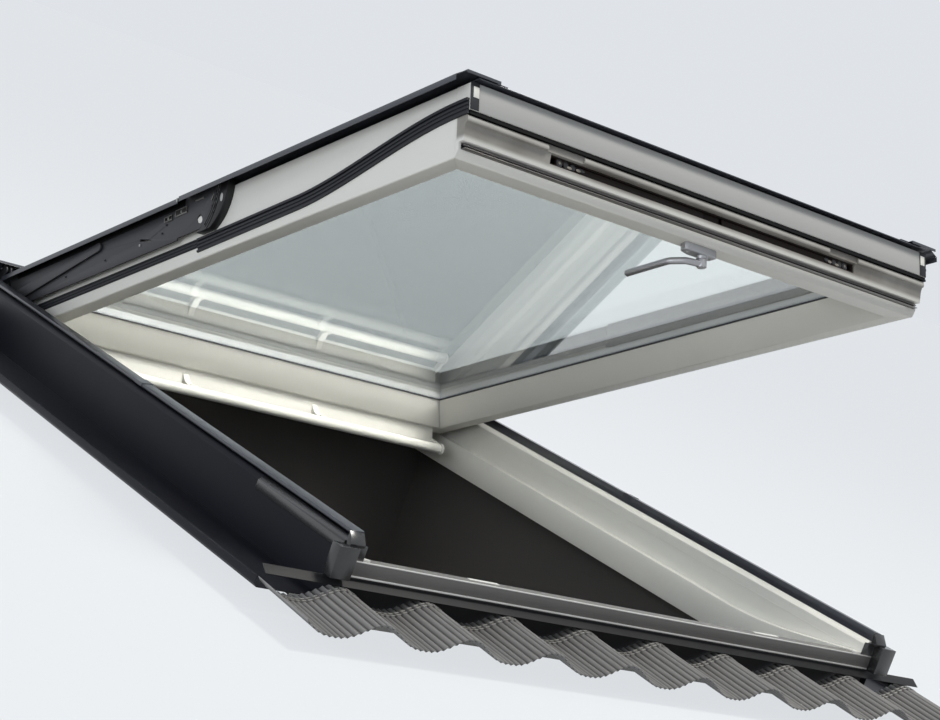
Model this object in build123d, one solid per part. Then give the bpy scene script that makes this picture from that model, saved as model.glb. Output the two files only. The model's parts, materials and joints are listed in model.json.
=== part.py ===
from build123d import *
import math
import os

# Roof window, top hung and centre pivoting, with its frame, claddings and flashing.
# X runs across the roof, Y up the slope and Z outwards from the roof, in millimetres.
# The origin is on the underside of the bottom rail, at the middle of the window.
# Pieces that swing are drawn in the axes of the closed sash: X across, s up the sash
# and h outwards from its inner face.
os.makedirs("parts", exist_ok=True)

# Fixed frame
frame_half_width = 568.0
frame_length = 1398.0
frame_bottom_y = -30.0
side_rail_height = 122.5
bottom_rail_height = 95.3
top_rail_height = 112.0
rebate_thickness = 37.0
upper_wall_thickness = 20.0
wall_bevel_width = 10.0
wall_bevel_height = 7.5
bottom_rail_thickness = 20.0
bottom_rail_foot = 52.0
foot_height = 26.0
foot_chamfer = 6.0
top_rail_thickness = 28.0
top_rail_step = 8.0

# Rebate ledge of the side rails: level at the top, then bending outwards to the foot
ledge_z = 57.0
ledge_bend_start = 330.0
ledge_bend_end = 140.0
ledge_slope = 0.185

# Side claddings: a crown channel that stands on the rail
sheet = 1.2
seat_gap = 0.2
cladding_setback = 8.5
crown_width = 19.5
crown_z = 140.0
crown_fall = 1.7
crown_lip = 5.0

# Bottom cladding and the two pads on it
cladding_overhang = 4.0
cladding_face_depth = 23.5
cladding_flange_end = 4.0
pad_half_length = 29.0
pad_width = 8.0
pad_height = 0.6
pad_centres = (-310.0, 313.0)

# Side, head and foot flashings
flashing_sheet = 1.0
flashing_hook_depth = 12.0
flashing_top_z = 128.0
flashing_bevel_start = 8.0
flashing_bevel_width = 9.0
flashing_bevel_fall = 7.0
flashing_floor_z = 33.0
flashing_width = 120.0
flashing_bead = 5.0
flashing_bead_rise = 16.0
head_flashing_drop = 15.0
head_flashing_depth = 132.0
flange_reach = 16.0
flange_foot_z = 20.0

# Moulded corner pieces at the foot
corner_sheet = 2.0
corner_plate_margin = 3.0
corner_top_z = 119.0
corner_box_width = 35.0
corner_box_depth = 22.0
corner_foot_z = 71.0
corner_tail = 255.0
corner_nose = 14.0

# Pleated apron below the bottom rail
apron_top_y = -33.0
apron_length = 139.0
apron_fall = 4.5
apron_wave_pitch = 156.0
apron_wave_height = 26.0
apron_wave_centre_x = 48.0
apron_crest_z = 59.5
apron_pleats_per_wave = 16
apron_pleat_depth = 2.6
apron_sheet = 1.3

# Angle brackets at the sides, by their distance from the foot and the head
bracket_foot_distance = 210.0
bracket_head_distance = 218.0
bracket_length = 96.0
bracket_reach = 52.0
bracket_leg = 45.0
bracket_sheet = 2.5
bracket_z = 20.0
bracket_hole_radius = 3.3
bracket_hole_spacing = 60.0
bracket_hole_reach = 32.0
bracket_screw_spacing = 56.0
bracket_screw_rise = 28.0
screw_head_radius = 4.2
screw_head = 3.0

# Sash
sash_side_gap = 6.0
sash_top_gap = 19.0
sash_offset_y = 21.0
sash_offset_z = 30.0
sash_depth = 109.0
side_face_width = 32.4
bottom_face_width = 32.0
reveal_width = 40.6
top_member_width = 83.0
glass_shelf_h = 47.5
glass_shelf_width = 22.0

# Glass unit
pane = 4.0
pane_gap = 16.0
glass_gasket = 2.0
glass_edge_clearance = 3.0
spacer_inset = 6.0
spacer_width = 8.0

# Covers on the sash and on the arms
cover_rise = 12.0
upper_cover_step = 2.5
cover_inset = 69.0
cover_crown_reach = 16.0
cover_bevel_width = 15.0
cover_bevel = 9.0
cover_skirt = 9.0
cover_leg_lift = 6.0
cover_front_s = -42.0
cover_lip_width = 64.0
cover_joint_gap = 2.5

# Pivot of the sash in its arms, by its distance from the head
pivot_setback = 600.0
pivot_above_cover = 1.5
track_radius = 27.0
track_rib = 4.8
track_rib_height = 4.5
track_clearance = 0.3
track_plate = 4.0
track_plate_half = 32.0
housing_radius = 40.0
housing_hub = 14.0
guard_clearance = 1.5
guard_radius = 80.0
guard_offset_s = 47.0
guard_offset_h = 8.0
guard_reach = 15.0

# Hinge line of the arms on the frame
hinge_setback = 15.0
hinge_above_cover = 8.5
hinge_pin_radius = 4.0
hinge_eye_radius = 10.0
hinge_clearance = 0.05
hinge_plate = 3.0
hinge_plate_foot = 4.0
hood_overhang = 4.0
hood_start_angle = 125.0

# Arms and stays
arm_gap = 11.0
arm_plate = 3.0
arm_depth = 74.3
arm_end_step = 4.0
arm_end_radius = 89.5
arm_flange = 36.0
arm_flange_sheet = 1.8
arm_hole_back = 46.5
arm_hole_drop = 58.5
arm_slot_ahead = 127.0
arm_slot_drop = 54.5
crossbar_size = 18.0
crossbar_wall = 2.0
stay_gap = 1.5
stay_plate = 4.0
stay_pivot_drop = 82.0
stay_reach = 351.0
stay_shoe_drop = 31.9
stay_foot_radius = 12.0
stay_shoe_radius = 8.0

# Front of the bottom rail
lip_groove_h = 12.6
lip_groove_top_h = 22.8
lip_groove_floor_s = -1.0
lip_groove_end = 5.0
front_ledge_s = -17.5
rib_h = 50.0
rib_s = -28.0
rib_notch_half = 37.0
rib_notch_s = -24.0
front_face_s = -31.0
front_face_bottom_h = 67.5
front_face_inset = 4.0
bottom_cover_rise = 6.0
bottom_cover_front_s = -40.0

# Lock in the bottom rail: two hooked bars that slide outwards from a gearbox
lock_travel = 9.0
lock_hook_left = (-342.0, -317.0)
lock_hook_right = (292.0, 329.0)
lock_slot_margin = 6.0
lock_slot_bottom_h = 33.2
lock_slot_top_h = 49.2
lock_mouth_s = -17.5
lock_floor_s = 0.0
lock_channel_wall = 2.0
lock_clearance = 0.3

# Handle
handle_x = 8.0
handle_s = 16.0
handle_base_height = 13.0
handle_neck_radius = 9.0
handle_neck = 5.0
handle_hub_radius = 8.2
handle_rod_radius = 5.8
handle_drop = 26.0

# Vent flap along the head and its control bar
vent_setback = 28.4
vent_end_gap = 44.0
vent_flap = 3.4
vent_flap_depth = 37.0
vent_axis_h = 8.0
vent_bead_radius = 3.2
vent_clearance = 0.05
vent_swing = 25.0
vent_bar_radius = 10.5
vent_bar_wall = 2.5
vent_bar_forward = 31.6
vent_bar_h = -53.0
vent_strap_x = 160.0
vent_strap = 3.3
vent_strap_half = 7.0
vent_cap = 6.0

# S-shaped line of the lower side gasket on the sash
gasket_joint_setback = 27.0
gasket_bend_top_s = 400.0
gasket_bend_bottom_s = -10.0
gasket_front_s = -29.0
gasket_below_arm = 18.3
gasket_bend_rise = 3.7
gasket_bottom_rise = 47.9
gasket_half_band = 12.0
gasket_base = 1.6
gasket_rib = 1.8

# Opening angle of the sash as the window stands
open_angle = 28.07

# Positions that follow from the sizes
frame_top_y = frame_bottom_y + frame_length
rebate_wall_x = frame_half_width - rebate_thickness
upper_wall_x = frame_half_width - upper_wall_thickness
bottom_wall_y = frame_bottom_y + bottom_rail_thickness
top_rail_y = frame_top_y - top_rail_thickness
cladding_x = frame_half_width - cladding_setback
cladding_top_z = bottom_rail_height + sheet
flashing_x = frame_half_width + flashing_bevel_start + flashing_bevel_width + flashing_sheet
flashing_reach_x = flashing_x + flashing_width
sash_half_width = rebate_wall_x - sash_side_gap
sash_length = top_rail_y - sash_top_gap - sash_offset_y
top_glass_line = sash_length - top_member_width
lower_cover_h = sash_depth + cover_rise
upper_cover_h = lower_cover_h - upper_cover_step
cover_inner_x = sash_half_width - cover_inset
cover_crown_x = sash_half_width + cover_crown_reach
cover_edge_x = cover_crown_x + cover_bevel_width
pivot_s = sash_length - pivot_setback
pivot_h = lower_cover_h + pivot_above_cover
hinge_y = frame_top_y - hinge_setback
hinge_z = sash_offset_z + upper_cover_h + hinge_above_cover
hood_radius = frame_top_y + sheet - hinge_y
hood_half_width = frame_half_width + hood_overhang
arm_inner_x = sash_half_width + arm_gap
arm_outer_x = arm_inner_x + arm_plate
arm_top_h = upper_cover_h - sheet
arm_lower_h = arm_top_h - arm_depth
stay_inner_x = arm_outer_x + stay_gap
stay_outer_x = stay_inner_x + stay_plate
under_flange_h = arm_top_h - arm_flange_sheet - 0.6
glass_top_h = glass_shelf_h + glass_gasket + 2 * pane + pane_gap
cover_leg_h = glass_top_h + cover_leg_lift
glass_side_x = sash_half_width - side_face_width - reveal_width
glass_bottom_s = bottom_face_width + reveal_width
glass_half_x = glass_side_x + glass_shelf_width - glass_edge_clearance
glass_low_s = glass_bottom_s - glass_shelf_width + glass_edge_clearance
glass_high_s = top_glass_line + glass_shelf_width - glass_edge_clearance
glass_low_h = glass_shelf_h + glass_gasket
gasket_joint_s = pivot_s - gasket_joint_setback
gasket_top_h = arm_lower_h - gasket_below_arm
gasket_bend_top_h = gasket_top_h + gasket_bend_rise
gasket_bottom_h = gasket_top_h + gasket_bottom_rise
lock_slot_left = lock_hook_left[0] - lock_travel - lock_slot_margin
lock_slot_right = lock_hook_right[1] + lock_travel + lock_slot_margin
vent_axis_s = sash_length - vent_setback + vent_flap / 2
vent_half_width = sash_half_width - vent_end_gap
vent_bar_s = sash_length - vent_setback - vent_bar_forward
bracket_ys = (frame_bottom_y + bracket_foot_distance, frame_top_y - bracket_head_distance)

# The sash turns about the hinge line and is then drawn at its opening angle
hinge_s = hinge_y - sash_offset_y
hinge_h = hinge_z - sash_offset_z
turn = math.radians(open_angle)
rest_y = hinge_y - (hinge_s * math.cos(turn) + hinge_h * math.sin(turn))
rest_z = hinge_z - (-hinge_s * math.sin(turn) + hinge_h * math.cos(turn))
sash_place = Location((0, rest_y, rest_z), (-open_angle, 0, 0))

# Shared helpers


def block(x0, x1, y0, y1, z0, z1):
    """Rectangular solid between two corners."""
    return Pos((x0 + x1) / 2, (y0 + y1) / 2, (z0 + z1) / 2) * Box(x1 - x0, y1 - y0, z1 - z0)


def along_x(outline, x0, x1):
    """Profile of (y, z) points run across from x0 to x1."""
    wire = Polyline(*[(x0, y, z) for y, z in outline], close=True)
    return extrude(make_face(wire), x1 - x0, dir=(1, 0, 0))


def along_y(outline, y0, y1):
    """Profile of (x, z) points run up the slope from y0 to y1."""
    wire = Polyline(*[(x, y0, z) for x, z in outline], close=True)
    return extrude(make_face(wire), y1 - y0, dir=(0, 1, 0))


def along_z(outline, z0, z1):
    """Plan of (x, y) points run outwards from z0 to z1."""
    wire = Polyline(*[(x, y, z0) for x, y in outline], close=True)
    return extrude(make_face(wire), z1 - z0, dir=(0, 0, 1))


def rod_x(x0, x1, y, z, radius):
    """Round rod across the window."""
    return Pos((x0 + x1) / 2, y, z) * Rot(0, 90, 0) * Cylinder(radius, x1 - x0)


def offset_path(path, distance):
    """Path moved sideways to its right, with its corners kept sharp."""
    moved = []
    last = len(path) - 1
    for i, (u, v) in enumerate(path):
        before = path[max(i - 1, 0)]
        after = path[min(i + 1, last)]
        normals = []
        for a, b in ((before, (u, v)), ((u, v), after)):
            length = math.hypot(b[0] - a[0], b[1] - a[1])
            if length > 0:
                normals.append(((b[1] - a[1]) / length, -(b[0] - a[0]) / length))
        n = (sum(normal[0] for normal in normals), sum(normal[1] for normal in normals))
        scale = distance / (n[0] * normals[0][0] + n[1] * normals[0][1])
        moved.append((u + n[0] * scale, v + n[1] * scale))
    return moved


def fold(path, thickness):
    """Outline of a folded sheet whose outer line is path and whose metal is on its right."""
    return path + offset_path(path, thickness)[::-1]


def arc_points(centre, radius, start, end, steps):
    """Points of an arc in a profile plane, from the start to the end angle in degrees."""
    points = []
    for i in range(steps + 1):
        a = math.radians(start + (end - start) * i / steps)
        points.append((centre[0] + radius * math.cos(a), centre[1] + radius * math.sin(a)))
    return points


def save(name, shape):
    """Writes one piece of the fixed frame."""
    export_step(shape, "parts/" + name + ".step")


def save_pair(name, shape):
    """Writes a right-hand piece and its mirror on the left."""
    save(name + "_right", shape)
    save(name + "_left", mirror(shape, about=Plane.YZ))


def both(shape):
    """Right-hand piece with its mirror, as one group."""
    return Compound(children=[shape, mirror(shape, about=Plane.YZ)])


def save_sash(name, shape):
    """Writes one piece that was drawn in the axes of the closed sash."""
    save(name, sash_place * shape)


def save_sash_pair(name, shape):
    """Writes a right-hand piece of the sash and its mirror on the left."""
    save_sash(name + "_right", shape)
    save_sash(name + "_left", mirror(shape, about=Plane.YZ))


# Fixed frame


def ledge_room():
    """Space above the curved rebate ledge of a side rail, to cut from its inner face."""
    margin = 5.0
    x = rebate_wall_x - margin
    start_y = frame_bottom_y + ledge_bend_start
    end_y = frame_bottom_y + ledge_bend_end
    low_y = frame_bottom_y - margin
    high_y = frame_top_y + margin
    bend = start_y - end_y
    bend_z = ledge_z + ledge_slope * bend / 2
    foot_z = bend_z + ledge_slope * (end_y - low_y)
    above_z = side_rail_height + margin
    edges = [
        Line((x, high_y, ledge_z), (x, start_y, ledge_z)),
        Bezier((x, start_y, ledge_z), (x, start_y - bend / 2, ledge_z), (x, end_y, bend_z)),
        Line((x, end_y, bend_z), (x, low_y, foot_z)),
        Line((x, low_y, foot_z), (x, low_y, above_z)),
        Line((x, low_y, above_z), (x, high_y, above_z)),
        Line((x, high_y, above_z), (x, high_y, ledge_z)),
    ]
    return extrude(make_face(edges), upper_wall_x - x, dir=(1, 0, 0))


def frame_side():
    """Side rail with its curved rebate ledge and a bevelled top inner edge."""
    bevel_z = side_rail_height - wall_bevel_height
    outline = [
        (rebate_wall_x, 0),
        (frame_half_width, 0),
        (frame_half_width, side_rail_height),
        (upper_wall_x + wall_bevel_width, side_rail_height),
        (upper_wall_x, bevel_z),
        (rebate_wall_x, bevel_z),
    ]
    return along_y(outline, frame_bottom_y, frame_top_y) - ledge_room()


def frame_bottom():
    """Bottom rail: a thin wall on a wide foot."""
    foot_y = frame_bottom_y + bottom_rail_foot
    edge = 4.0
    outline = [
        (frame_bottom_y, 0),
        (foot_y, 0),
        (foot_y, foot_height - foot_chamfer),
        (foot_y - foot_chamfer, foot_height),
        (bottom_wall_y, foot_height),
        (bottom_wall_y, bottom_rail_height - edge),
        (bottom_wall_y - edge, bottom_rail_height),
        (frame_bottom_y, bottom_rail_height),
    ]
    return along_x(outline, -rebate_wall_x, rebate_wall_x)


def frame_top():
    """Top rail, stepped at the height of the rebate ledge."""
    outline = [
        (top_rail_y + top_rail_step, 0),
        (frame_top_y, 0),
        (frame_top_y, top_rail_height),
        (top_rail_y + top_rail_step, top_rail_height),
        (top_rail_y, top_rail_height - top_rail_step),
        (top_rail_y, ledge_z),
        (top_rail_y + top_rail_step, ledge_z - top_rail_step),
    ]
    return along_x(outline, -rebate_wall_x, rebate_wall_x)


def crown_path(foot_z):
    """Line of the side cladding, from the foot of its inner leg to its outer lip."""
    outer_x = cladding_x + crown_width
    outer_z = crown_z - crown_fall
    return [(cladding_x, foot_z), (cladding_x, crown_z), (outer_x, outer_z), (outer_x, outer_z - crown_lip)]


def side_cladding():
    """Crown channel that stands on the side rail."""
    path = crown_path(side_rail_height + seat_gap)
    return along_y(fold(path, sheet), frame_bottom_y - 1, hinge_y - hood_radius - 2)


def cladding_clips():
    """Spring clips over the crowns of the side claddings."""
    clip_y = frame_bottom_y + frame_length / 2
    half_width = 13.0
    spring = 1.1
    path = crown_path(crown_z - 9)
    clip = along_y(fold(path, -spring), clip_y - half_width, clip_y + half_width)
    return both(clip)


def bottom_cladding():
    """Front face over the whole width, with a flange on the bottom rail between the side rails."""
    face_y = frame_bottom_y - cladding_overhang
    nose = 1.6
    path = [
        (frame_bottom_y - seat_gap, cladding_top_z),
        (face_y + nose, cladding_top_z),
        (face_y, cladding_top_z - nose),
        (face_y, cladding_top_z - cladding_face_depth),
        (face_y + sheet, cladding_top_z - cladding_face_depth - 2),
    ]
    half = frame_half_width + corner_plate_margin
    face = along_x(fold(path[::-1], sheet), -half, half)
    flange_half = rebate_wall_x - seat_gap
    flange = block(
        -flange_half,
        flange_half,
        frame_bottom_y - 1,
        bottom_wall_y - cladding_flange_end,
        bottom_rail_height,
        cladding_top_z,
    )
    return face + flange


def cladding_pads():
    """Two short felt pads on the bottom cladding, where the closed sash comes down."""
    y = bottom_wall_y - cladding_flange_end - pad_width / 2
    pads = [
        block(x - pad_half_length, x + pad_half_length, y - pad_width / 2, y + pad_width / 2, cladding_top_z,
              cladding_top_z + pad_height)
        for x in pad_centres
    ]
    return Compound(children=pads)


def flashing_path():
    """Line of the side flashing: hook on the rail, bevel, face, gutter floor and bead."""
    hook_x = frame_half_width + seat_gap + flashing_sheet
    bevel_x = frame_half_width + flashing_bevel_start
    return [
        (hook_x, flashing_top_z - flashing_hook_depth),
        (hook_x, flashing_top_z),
        (bevel_x, flashing_top_z),
        (bevel_x + flashing_bevel_width, flashing_top_z - flashing_bevel_fall),
        (flashing_x, flashing_floor_z),
        (flashing_reach_x - flashing_bead, flashing_floor_z),
        (flashing_reach_x, flashing_floor_z + flashing_bead),
        (flashing_reach_x, flashing_floor_z + flashing_bead_rise),
        (flashing_reach_x - flashing_bead, flashing_floor_z + flashing_bead_rise),
    ]


def side_flashing():
    """Folded side flashing that hooks on the rail and forms the gutter beside it."""
    return along_y(fold(flashing_path(), -flashing_sheet), frame_bottom_y + 1, frame_top_y)


def head_flashing():
    """Folded sheet behind the head of the frame."""
    back_y = frame_top_y + seat_gap
    end_y = back_y + head_flashing_depth
    path = [
        (back_y, top_rail_height - head_flashing_drop),
        (back_y, flashing_floor_z),
        (end_y, flashing_floor_z),
        (end_y + flashing_bead, flashing_floor_z + flashing_bead_rise),
        (end_y, flashing_floor_z + flashing_bead_rise),
    ]
    return along_x(fold(path[::-1], flashing_sheet), -flashing_reach_x, flashing_reach_x)


def apron_flange():
    """Folded sheet against the bottom rail, with the shelf that carries the pleated apron."""
    back_y = frame_bottom_y - 0.5
    top_z = cladding_top_z - cladding_face_depth - 3.5
    front_z = apron_crest_z + flashing_sheet - seat_gap
    shelf = [(back_y - flange_reach, front_z), (back_y, top_z)]
    upstand = block(
        -frame_half_width,
        frame_half_width,
        back_y - flashing_sheet,
        back_y,
        flange_foot_z,
        bottom_rail_height - 4,
    )
    return along_x(fold(shelf, flashing_sheet), -flashing_reach_x, flashing_reach_x) + upstand


def apron_height(x):
    """Wave of the apron that follows the rolls of the roof tiles."""
    phase = 2 * math.pi * (x - apron_wave_centre_x) / apron_wave_pitch
    crest = (1 + math.cos(phase)) / 2
    return apron_crest_z - apron_wave_height * (1 - crest**1.4)


def pleated_apron():
    """Waved sheet with fine pleats that run up the slope."""
    half_pleat = apron_wave_pitch / apron_pleats_per_wave / 2
    count = int(2 * flashing_reach_x / half_pleat)
    upper = []
    for i in range(count + 1):
        x = -flashing_reach_x + i * half_pleat
        upper.append((x, apron_height(x) - apron_pleat_depth * (i % 2)))
    outline = upper + [(x, z - apron_sheet) for x, z in upper[::-1]]
    wire = Polyline(*[(x, apron_top_y, z) for x, z in outline], close=True)
    length = math.hypot(apron_length, apron_fall)
    return extrude(make_face(wire), length, dir=(0, -apron_length, -apron_fall))


def corner_piece():
    """Moulded corner at the foot: end plate, front box, tail on the bevel and nose of the crown."""
    plate_y = frame_bottom_y - seat_gap
    inner_x = upper_wall_x - corner_plate_margin
    box_x = frame_half_width + corner_plate_margin + seat_gap
    outer_x = box_x + corner_box_width
    plate = block(inner_x, outer_x, plate_y - corner_sheet, plate_y, cladding_top_z + seat_gap, corner_top_z)
    box = block(box_x, outer_x, plate_y - corner_box_depth, plate_y - 1, corner_foot_z, corner_top_z)
    hollow = block(
        box_x + corner_sheet,
        outer_x - corner_sheet,
        plate_y - corner_box_depth + corner_sheet,
        plate_y,
        corner_foot_z - 1,
        corner_top_z - corner_sheet,
    )
    hollow_side = block(
        box_x - 1, outer_x + 1, plate_y - corner_sheet, plate_y, corner_foot_z - 1, corner_foot_z + 12
    )
    seat = offset_path(flashing_path()[2:5], -flashing_sheet - seat_gap)
    seat[2] = (seat[2][0], corner_top_z - 12)
    tail = along_y(fold(seat, -sheet), plate_y - 1, frame_bottom_y + corner_tail)
    nose_y = frame_bottom_y - 1 - seat_gap
    nose = along_x(
        [
            (nose_y, crown_z - crown_fall),
            (nose_y, corner_top_z - 1),
            (nose_y - corner_nose + 2, corner_top_z - 1),
            (nose_y - corner_nose, corner_top_z + 4),
        ],
        cladding_x,
        cladding_x + crown_width + 6,
    )
    return plate + (box - hollow - hollow_side) + tail + nose


def hood():
    """Rolled hood that covers the hinge line and laps over the head flashing."""
    roll = arc_points((hinge_y, hinge_z), hood_radius, hood_start_angle, 0, 10)
    roll.append((frame_top_y + sheet, top_rail_height - 4))
    return along_x(fold(roll, sheet), -hood_half_width, hood_half_width)


def hood_end():
    """Cap that closes the end of the hood over the side rail."""
    foot_z = flashing_top_z + flashing_sheet + seat_gap
    outline = [(hinge_y - hood_radius + 1, foot_z), (frame_top_y, foot_z)]
    outline += arc_points((hinge_y, hinge_z), hood_radius, 0, hood_start_angle, 10)
    return along_x(outline, hood_half_width, hood_half_width + 2)


def fixing_bracket(y):
    """Angle bracket on the side of the frame, with two screw holes in its foot."""
    x = frame_half_width
    low_y = y - bracket_length / 2
    high_y = y + bracket_length / 2
    bracket = block(x, x + bracket_reach, low_y, high_y, bracket_z, bracket_z + bracket_sheet)
    bracket += block(x, x + bracket_sheet, low_y, high_y, bracket_z, bracket_z + bracket_leg)
    for hole_y in (y - bracket_hole_spacing / 2, y + bracket_hole_spacing / 2):
        bracket -= Pos(x + bracket_hole_reach, hole_y, bracket_z) * Cylinder(bracket_hole_radius, 20)
    return bracket


def fixing_brackets():
    """The four angle brackets as one group."""
    shapes = []
    for y in bracket_ys:
        shapes += both(fixing_bracket(y)).children
    return Compound(children=shapes)


def bracket_screws():
    """Hexagon screw heads on the legs of the angle brackets."""
    x = frame_half_width + bracket_sheet
    z = bracket_z + bracket_screw_rise
    screws = []
    for y in bracket_ys:
        for screw_y in (y - bracket_screw_spacing / 2, y + bracket_screw_spacing / 2):
            head = extrude(RegularPolygon(screw_head_radius, 6), screw_head)
            screws += both(Pos(x, screw_y, z) * Rot(0, 90, 0) * head).children
    return Compound(children=screws)


def hinge_bracket():
    """Plate on the frame wall with the pins of the arm and of the stay."""
    plate_x = upper_wall_x - hinge_plate
    half = stay_foot_radius
    neck = half / 2
    cover_room = cover_bevel + cover_skirt + hinge_above_cover
    outline = [
        (hinge_y - half, ledge_z + hinge_plate_foot),
        (hinge_y + half, ledge_z + hinge_plate_foot),
        (hinge_y + half, hinge_z),
        (hinge_y - neck, hinge_z),
        (hinge_y - neck, hinge_z - cover_room - neck),
        (hinge_y - half, hinge_z - cover_room - 2 * half),
    ]
    bracket = along_x(outline, plate_x, upper_wall_x)
    bracket += rod_x(plate_x, upper_wall_x, hinge_y, hinge_z, hinge_eye_radius)
    bracket += rod_x(arm_inner_x - 3, plate_x, hinge_y, hinge_z, hinge_pin_radius)
    bracket += rod_x(stay_inner_x - 1, plate_x, hinge_y, hinge_z - stay_pivot_drop, hinge_pin_radius)
    return bracket


def strikers():
    """Two keeps on the wall of the bottom rail, opposite the hooks of the lock."""
    half = 26.0
    window_half = 14.0
    plate_sheet = 2.5
    low_z = sash_offset_z + lock_slot_bottom_h
    high_z = sash_offset_z + lock_slot_top_h
    keeps = []
    for hook in (lock_hook_left, lock_hook_right):
        x = sum(hook) / 2
        y = bottom_wall_y
        plate = block(x - half, x + half, y, y + plate_sheet, low_z, high_z + 6)
        plate -= block(x - window_half, x + window_half, y - 1, y + plate_sheet + 1, low_z + 5, high_z)
        keeps.append(plate)
    return Compound(children=keeps)


save_pair("frame_side", frame_side())
save("frame_bottom_rail", frame_bottom())
save("frame_top_rail", frame_top())
save_pair("side_cladding", side_cladding())
save("cladding_clips", cladding_clips())
save("bottom_cladding", bottom_cladding())
save("cladding_pads", cladding_pads())
save("corner_pieces", both(corner_piece()))
save_pair("side_flashing", side_flashing())
save("head_flashing", head_flashing())
save("apron_flange", apron_flange())
save("pleated_apron", pleated_apron())
save("hinge_hood", hood())
save("hood_ends", both(hood_end()))
save("fixing_brackets", fixing_brackets())
save("bracket_screws", bracket_screws())
save("hinge_brackets", both(hinge_bracket()))
save("strikers", strikers())

# Arms


def disc_sector(x0, x1, inner, outer, start, end):
    """Part of a ring about the pivot line, between two angles."""
    centre = (pivot_s, pivot_h)
    points = arc_points(centre, outer, start, end, 12) + arc_points(centre, inner, end, start, 12)
    return along_x(points, x0, x1)


def slot_through(s, h, length, width, angle):
    """Rounded slot to cut through the arm's plate."""
    middle_x = (arm_inner_x + arm_outer_x) / 2
    face = Pos(middle_x, s, h) * Rot(angle, 0, 0) * Rot(0, 90, 0) * Rot(0, 0, 90) * SlotOverall(length, width)
    return extrude(face, 10, both=True)


def arm():
    """Long steel arm from the hinge eye to the rounded end about the pivot."""
    low_x = arm_inner_x - 1
    high_x = arm_outer_x + 1
    end_s = pivot_s - arm_end_radius
    step_s = pivot_s + 22
    web = block(arm_inner_x, arm_outer_x, end_s, hinge_s, arm_lower_h, arm_top_h)
    web -= block(low_x, high_x, end_s - 1, step_s, 0, arm_lower_h + arm_end_step)
    round_end = rod_x(low_x, high_x, pivot_s, pivot_h, arm_end_radius)
    web &= round_end + block(low_x, high_x, pivot_s, hinge_s + 1, 0, arm_top_h + 1)
    heel = [
        (hinge_s - 60, 0),
        (hinge_s + 30, 0),
        (hinge_s + 30, hinge_h - hinge_eye_radius + 1),
        (hinge_s - 8, hinge_h - hinge_eye_radius - 5),
    ]
    web -= along_x(heel, low_x, high_x)
    web += rod_x(arm_inner_x, arm_outer_x, hinge_s, hinge_h, hinge_eye_radius)
    web -= rod_x(low_x, high_x, hinge_s, hinge_h, hinge_pin_radius + hinge_clearance)
    web -= slot_through(pivot_s - arm_hole_back, pivot_h - arm_hole_drop, 18, 13, 60)
    web -= slot_through(pivot_s + arm_slot_ahead, pivot_h - arm_slot_drop, 36, 4, 14)
    flange_x = arm_inner_x - arm_flange
    low_h = arm_top_h - arm_flange_sheet
    flange = block(flange_x, arm_inner_x, pivot_s + 1.5, hinge_s - hinge_eye_radius, low_h, arm_top_h)
    return web + flange


def cover(top, start, end, leg_start, leg_end):
    """Folded cover along one side: crown, bevel and skirt, with an inner leg beside the glass."""
    path = [
        (cover_inner_x, top),
        (cover_crown_x, top),
        (cover_edge_x, top - cover_bevel),
        (cover_edge_x, top - cover_bevel - cover_skirt),
    ]
    leg = block(cover_inner_x, cover_inner_x + sheet, leg_start, leg_end, cover_leg_h, top)
    return along_y(fold(path, sheet), start, end) + leg


def upper_side_cover():
    """Cover that the arm carries, from the pivot to the hinge line."""
    start = pivot_s + 1.5
    return cover(upper_cover_h, start, hinge_s - stay_shoe_radius, start, top_glass_line + 5)


def top_cover():
    """Cover across the head of the sash, carried by the arms."""
    inner_s = top_glass_line + 5
    path = [
        (inner_s, cover_leg_h),
        (inner_s, upper_cover_h),
        (hinge_s - stay_shoe_radius, upper_cover_h),
    ]
    return along_x(fold(path, sheet), -cover_inner_x, cover_inner_x)


def crossbar():
    """Square tube that ties the two arms together behind the sash."""
    top = arm_top_h - arm_flange_sheet
    start = sash_length + 3.5
    wall = crossbar_wall
    outer = block(-arm_inner_x, arm_inner_x, start, start + crossbar_size, top - crossbar_size, top)
    inner = block(
        -arm_inner_x - 1,
        arm_inner_x + 1,
        start + wall,
        start + crossbar_size - wall,
        top - crossbar_size + wall,
        top - wall,
    )
    return outer - inner


def pivot_housing():
    """Half-round steel housing with the curved groove that the rib of the sash runs in."""
    inner_x = sash_half_width + track_plate + 0.6
    housing = disc_sector(inner_x, arm_inner_x, housing_hub, housing_radius, -168.5, -11.5)
    half = track_rib / 2 + track_clearance
    groove_x = inner_x + track_rib_height + 0.5
    groove = disc_sector(inner_x - 1, groove_x, track_radius - half, track_radius + half, -180, 0)
    reach = 2 * housing_radius
    below = block(inner_x - 1, arm_inner_x + 1, pivot_s - reach, pivot_s + reach, 0, under_flange_h)
    return (housing - groove) & below


save_sash_pair("arm", arm())
save_sash_pair("upper_side_cover", upper_side_cover())
save_sash("top_cover", top_cover())
save_sash("arm_crossbar", crossbar())
save_sash("pivot_housings", both(pivot_housing()))

# Sash


def sash_side():
    """Side member with its slanted glass reveal, mitred at both ends."""
    inner = sash_half_width - side_face_width
    edge = 2.0
    outline = [
        (inner, 0),
        (sash_half_width - edge, 0),
        (sash_half_width, edge),
        (sash_half_width, sash_depth),
        (glass_side_x + glass_shelf_width, sash_depth),
        (glass_side_x + glass_shelf_width, glass_shelf_h),
        (glass_side_x, glass_shelf_h),
    ]
    plan = [
        (sash_half_width, 0),
        (glass_side_x, glass_bottom_s),
        (glass_side_x, top_glass_line),
        (sash_half_width, sash_length),
    ]
    return along_y(outline, -1, sash_length + 1) & along_z(plan, -1, sash_depth + 1)


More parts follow.
